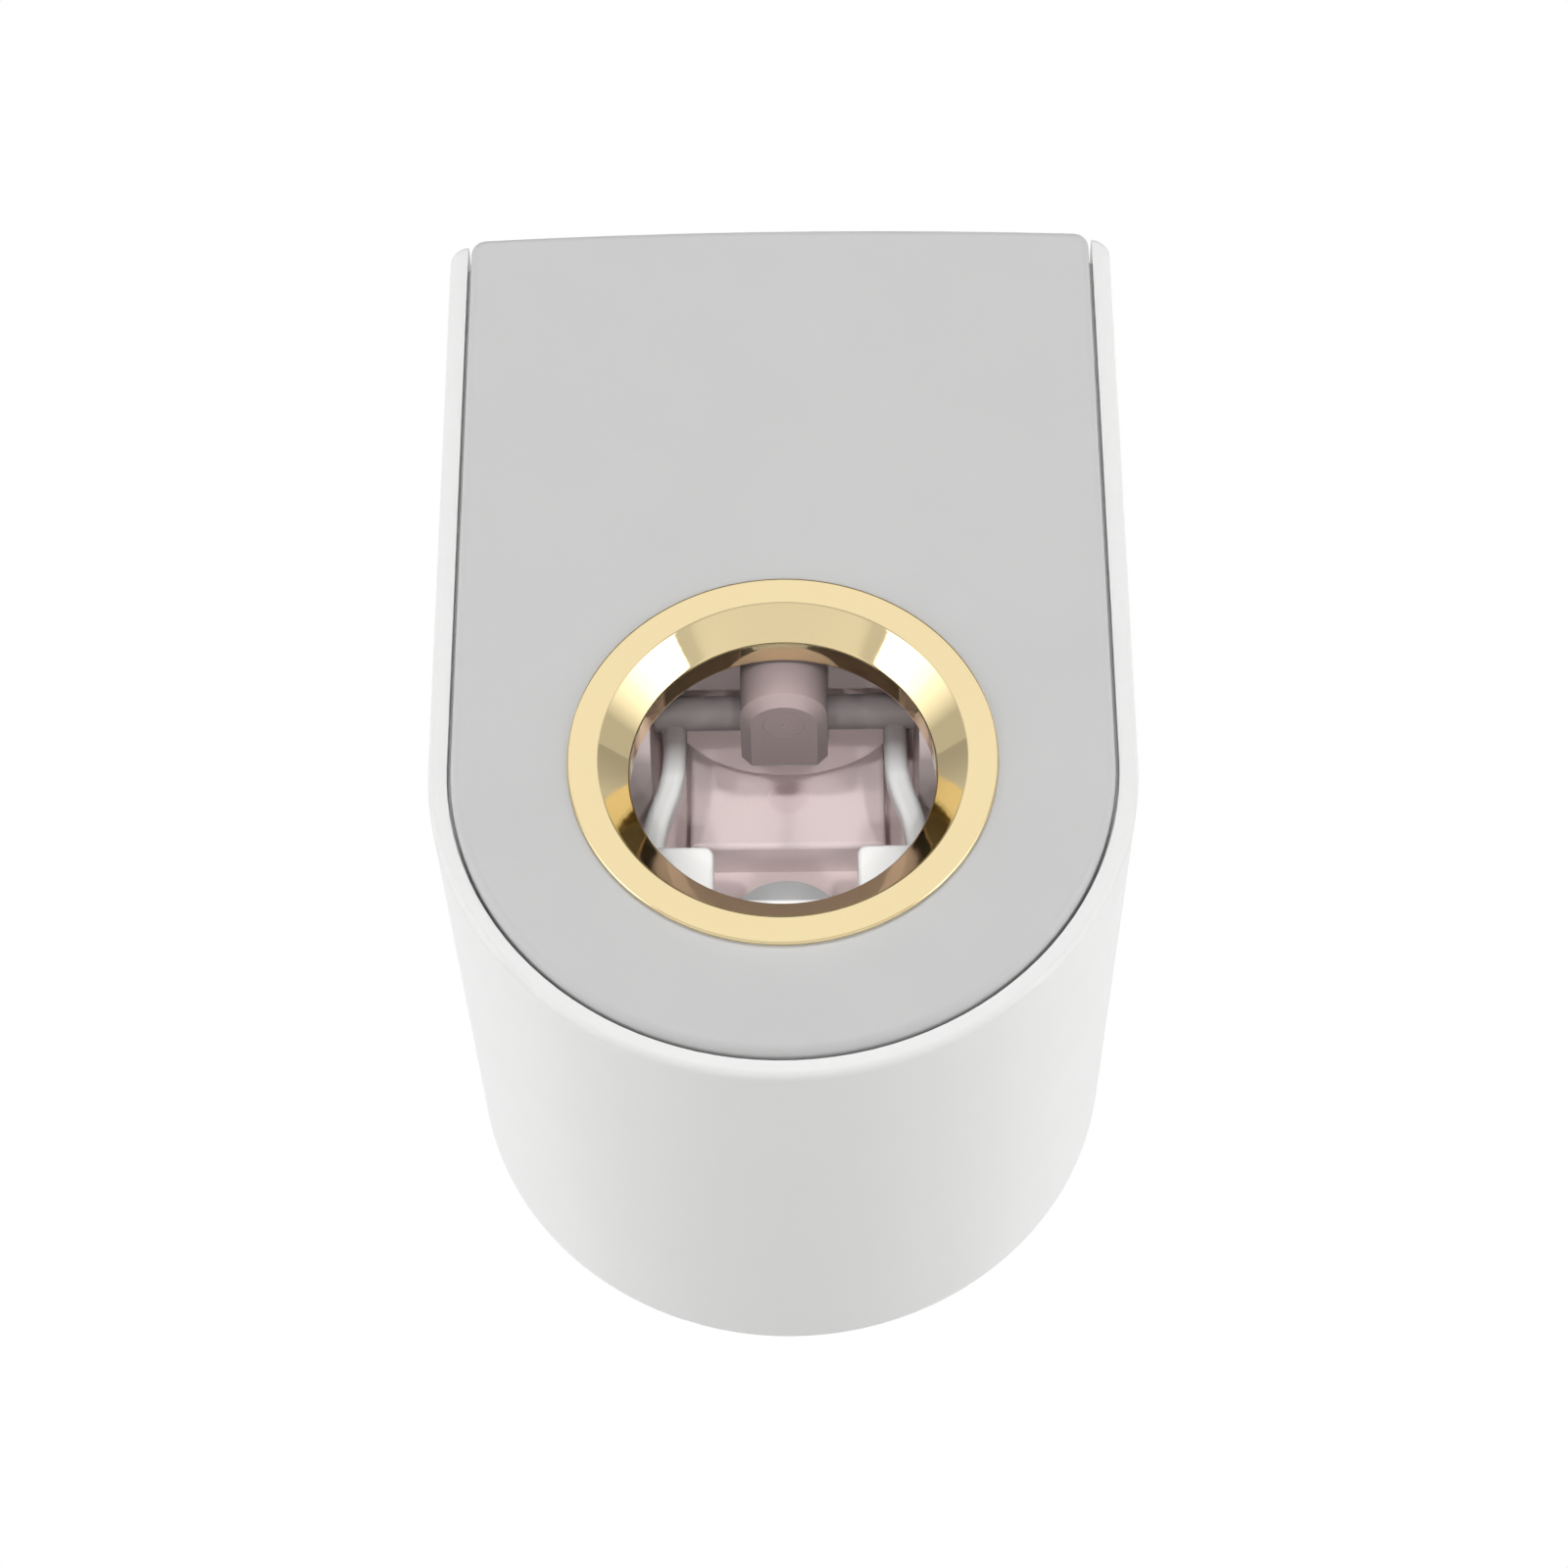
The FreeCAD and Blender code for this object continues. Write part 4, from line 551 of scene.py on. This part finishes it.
# The cap over the return spring: a round cap of grey resin, moulded in one piece.
# It slides on the chassis, and the trigger pushes it back.
cap_resin = moulded(
    "cap_resin", light=(0.40, 0.40, 0.405), deep=(0.36, 0.36, 0.365),
    polished=0.34, dull=0.46, grain=2200.0, depth=0.008 * MM)
finish(cap_resin, "spring_cap")


# The front cover: an arch-shaped plate of light grey resin with a satin face, slid down into the casing.
# Behind it sits the white ring that holds the gold one from the back.
cover_resin = moulded(
    "cover_resin", light=(0.585, 0.585, 0.585), deep=(0.57, 0.57, 0.57),
    polished=0.42, dull=0.52, grain=2400.0, depth=0.008 * MM)
finish(cover_resin, "front_cover")
finish(bracket_resin, "ring_retainer")


# The ring: moulded, plated in pale gold and polished, with a flat flange, a cone and a short throat.
# It is pressed into the cover from the front. The plating is not quite even.
RING_FACE = -59.5
RING_PROFILE = [(17.2, 0.499), (14.3, -2.1), (14.3, -5.2), (15.9, -5.2), (15.9, -3.0), (17.9, -3.0),
                (17.9, 0.0), (20.0, 0.0), (20.0, 0.499)]
RING_ROUND = 0.22 * MM
RING_SPACING = 0.12 * MM
RING_SEGMENTS = 220
GOLD_LIGHT = (0.91, 0.755, 0.45, 1.0)
GOLD_DEEP = (0.88, 0.715, 0.405, 1.0)
GOLD_POLISHED = 0.035
GOLD_DULL = 0.075
GOLD_WAVES = 320.0
GOLD_RELIEF = 0.006 * MM
gold = bpy.data.materials.new("pale_gold")
gold.use_nodes = True
gold_tree = gold.node_tree
gold_shader = gold_tree.nodes["Principled BSDF"]
gold_shader.inputs["Metallic"].default_value = 1.0
gold_place = add_node(gold_tree, "ShaderNodeTexCoord").outputs["Object"]
gold_tone = use_effect(gold_tree, resin_tone, gold_place, Clouds_per_metre=60.0,
                       Light=GOLD_LIGHT, Deep=GOLD_DEEP)
gold_gloss = use_effect(gold_tree, handling, gold_place, Smudges_per_metre=220.0,
                        Polished=GOLD_POLISHED, Dull=GOLD_DULL)
gold_wave = add_node(gold_tree, "ShaderNodeTexNoise",
                     {"Vector": gold_place, "Scale": GOLD_WAVES, "Detail": 3.0})
gold_relief = add_node(gold_tree, "ShaderNodeBump",
                       {"Height": gold_wave.outputs["Fac"], "Strength": 1.0, "Distance": GOLD_RELIEF})
gold_tree.links.new(gold_tone.outputs["Colour"], gold_shader.inputs["Base Color"])
gold_tree.links.new(gold_gloss.outputs["Roughness"], gold_shader.inputs["Roughness"])
gold_tree.links.new(gold_relief.outputs["Normal"], gold_shader.inputs["Normal"])
ring = turned_piece(
    "gold_ring", RING_PROFILE, True, Corner_round=RING_ROUND, Spacing=RING_SPACING, Segments=RING_SEGMENTS,
    Place=(0.0, RING_FACE * MM, RING_AXIS * MM), Turn=TO_FRONT, Material=gold)
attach(ring, "cover")
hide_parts("trim_ring")


# The studio: a pale floor below the hanging unit, a white surround that dims overhead and to the sides,
# and a tall soft panel at each side, brightest low in front. Round lamps fill in from three sides.
# Five lamps in snoots round the camera light the inside through the ring.
WHITE = (1.0, 1.0, 1.0, 1.0)
FLOOR_HEIGHT = -0.32
FLOOR_REACH = 6.0
FLOOR_WASH = 0.35
FILL_STRENGTH = 0.39
SIDE_DIM = {"From Min": 0.45, "From Max": 0.9, "To Min": 1.0, "To Max": 0.4}
TOP_DIM = {"From Min": 0.68, "From Max": 0.82, "To Min": 1.0, "To Max": 0.15}
PANEL_PLACE = (0.45, -0.27, 0.0)
PANEL_AIM = Vector((0.0, -0.03, 0.0))
PANEL_WIDTH = 0.32
PANEL_HEIGHT = 0.5
PANEL_POWER = 0.8
PANEL_FADE = {"From Min": 0.1, "From Max": 0.75, "To Min": 1.6, "To Max": 0.1}
SIDE_PLACE = (0.5, 0.0, -0.05)
SIDE_WIDTH = 0.4
SIDE_POWER = 0.75
KEY_PLACE = Vector((0.0, -0.55, 0.25))
KEY_WIDTH = 0.3
KEY_POWER = 1.25
SNOOTS = [((-0.13, -0.39, -0.18), 1.2), ((-0.04, -0.41, -0.182), 1.85), ((0.04, -0.41, -0.182), 1.85),
          ((0.13, -0.39, -0.18), 1.2), ((0.0, -0.37, -0.25), 1.5)]
SNOOT_AIM = Vector((0.0, -0.056, -0.0138))
SNOOT_ANGLE = 0.077
SNOOT_BLEND = 0.3
SNOOT_WIDTH = 0.004


def background_rays(tree):
    """1 for the rays that show the background to the lens, in gloss or through clear pieces."""
    path = add_node(tree, "ShaderNodeLightPath")
    shown = path.outputs["Is Camera Ray"]
    for kind in ("Is Glossy Ray", "Is Transmission Ray"):
        shown = figure(tree, "MAXIMUM", shown, path.outputs[kind])
    return shown


floor_mesh = bpy.data.meshes.new("floor")
corners = [(-FLOOR_REACH, -FLOOR_REACH), (FLOOR_REACH, -FLOOR_REACH), (FLOOR_REACH, FLOOR_REACH),
           (-FLOOR_REACH, FLOOR_REACH)]
floor_mesh.from_pydata([(x, y, FLOOR_HEIGHT) for x, y in corners], [], [(0, 1, 2, 3)])
floor = bpy.data.objects.new("floor", floor_mesh)
bpy.context.scene.collection.objects.link(floor)
floor_paint = moulded(
    "floor_paint", light=(0.88, 0.88, 0.875), deep=(0.86, 0.86, 0.855),
    polished=0.7, dull=0.85, grain=300.0, depth=0.05 * MM)
paint_tree = floor_paint.node_tree
wash = add_node(paint_tree, "ShaderNodeEmission", {"Color": WHITE, "Strength": 1.0})
wash_share = figure(paint_tree, "MULTIPLY", background_rays(paint_tree), FLOOR_WASH)
painted = paint_tree.nodes["Principled BSDF"].outputs[0]
washed = add_node(paint_tree, "ShaderNodeMixShader", {"Fac": wash_share, 1: painted, 2: wash.outputs[0]})
paint_tree.links.new(washed.outputs[0], paint_tree.nodes["Material Output"].inputs["Surface"])
floor_mesh.materials.append(floor_paint)

world = bpy.data.worlds.new("studio")
bpy.context.scene.world = world
world.use_nodes = True
sky = world.node_tree
sky.nodes.clear()
sky_place = add_node(sky, "ShaderNodeTexCoord").outputs["Generated"]
sky_way = add_node(sky, "ShaderNodeSeparateXYZ", {"Vector": sky_place}).outputs
aside = add_node(sky, "ShaderNodeMath", {0: sky_way["X"]}, operation="ABSOLUTE").outputs[0]
side_dim = add_node(
    sky, "ShaderNodeMapRange", {"Value": aside, **SIDE_DIM}, interpolation_type="SMOOTHSTEP")
top_dim = add_node(
    sky, "ShaderNodeMapRange", {"Value": sky_way["Z"], **TOP_DIM}, interpolation_type="SMOOTHSTEP")
mirrored_level = figure(sky, "MULTIPLY", side_dim.outputs["Result"], top_dim.outputs["Result"])
camera_ray = add_node(sky, "ShaderNodeLightPath").outputs["Is Camera Ray"]
seen_level = figure(sky, "MAXIMUM", camera_ray, mirrored_level)
seen = add_node(sky, "ShaderNodeBackground", {"Color": WHITE, "Strength": seen_level})
fill = add_node(sky, "ShaderNodeBackground", {"Color": WHITE, "Strength": FILL_STRENGTH})
surround = add_node(
    sky, "ShaderNodeMixShader", {"Fac": background_rays(sky), 1: fill.outputs[0], 2: seen.outputs[0]})
add_node(sky, "ShaderNodeOutputWorld", {"Surface": surround.outputs[0]})


def hang(lamp, stand, aim, mirrored):
    """Put a lamp in place, turned to its aim, and say whether glossy pieces mirror it."""
    holder = bpy.data.objects.new(lamp.name, lamp)
    bpy.context.scene.collection.objects.link(holder)
    facing = (stand - aim).to_track_quat("Z", "Y").to_matrix().to_4x4()
    holder.matrix_world = Matrix.Translation(stand) @ facing
    holder.visible_glossy = mirrored
    holder.visible_camera = False


for side in (-1, 1):
    panel = bpy.data.lights.new("soft_panel", "AREA")
    panel.shape = "RECTANGLE"
    panel.size = PANEL_WIDTH
    panel.size_y = PANEL_HEIGHT
    panel.energy = PANEL_POWER
    panel.use_nodes = True
    glow_tree = panel.node_tree
    panel_place = add_node(glow_tree, "ShaderNodeNewGeometry").outputs["Parametric"]
    across = add_node(glow_tree, "ShaderNodeSeparateXYZ", {"Vector": panel_place})
    fade = add_node(glow_tree, "ShaderNodeMapRange", {"Value": across.outputs["Y"], **PANEL_FADE})
    glow_tree.links.new(fade.outputs["Result"], glow_tree.nodes["Emission"].inputs["Strength"])
    hang(panel, Vector((PANEL_PLACE[0] * side, *PANEL_PLACE[1:])), PANEL_AIM, True)

side_stands = [Vector((SIDE_PLACE[0] * side, *SIDE_PLACE[1:])) for side in (-1, 1)]
round_lamps = [(stand, SIDE_WIDTH, SIDE_POWER) for stand in side_stands]
round_lamps.append((KEY_PLACE, KEY_WIDTH, KEY_POWER))
for stand, width, power in round_lamps:
    lamp = bpy.data.lights.new("soft_lamp", "AREA")
    lamp.shape = "DISK"
    lamp.size = width
    lamp.energy = power
    hang(lamp, stand, PANEL_AIM, False)

for place, power in SNOOTS:
    snoot = bpy.data.lights.new("snoot", "SPOT")
    snoot.spot_size = SNOOT_ANGLE
    snoot.spot_blend = SNOOT_BLEND
    snoot.shadow_soft_size = SNOOT_WIDTH
    snoot.energy = power
    hang(snoot, Vector(place), SNOOT_AIM, False)


# The camera: a long lens on a full-size sensor, from below and in front, a little to the right.
# It is rolled by a third of a degree, as in the photograph.
CAMERA_PLACE = Vector((0.0039, -0.40369, -0.23158))
CAMERA_AIM = Vector((0.000114, -0.0595, -0.017218))
CAMERA_ROLL = -0.006
SENSOR_WIDTH = 36.0
FOCAL_LENGTH = 100.917
NEAREST = 0.01
lens = bpy.data.cameras.new("camera")
lens.sensor_width = SENSOR_WIDTH
lens.lens = FOCAL_LENGTH
lens.clip_start = NEAREST
camera = bpy.data.objects.new("camera", lens)
bpy.context.scene.collection.objects.link(camera)
backwards = (CAMERA_PLACE - CAMERA_AIM).normalized()
level = Vector((0.0, 0.0, 1.0)).cross(backwards).normalized()
right = level * math.cos(CAMERA_ROLL) + backwards.cross(level) * math.sin(CAMERA_ROLL)
facing = Matrix((right, backwards.cross(right), backwards)).transposed().to_4x4()
camera.matrix_world = Matrix.Translation(CAMERA_PLACE) @ facing
bpy.context.scene.camera = camera
bpy.context.scene.view_settings.view_transform = "Standard"
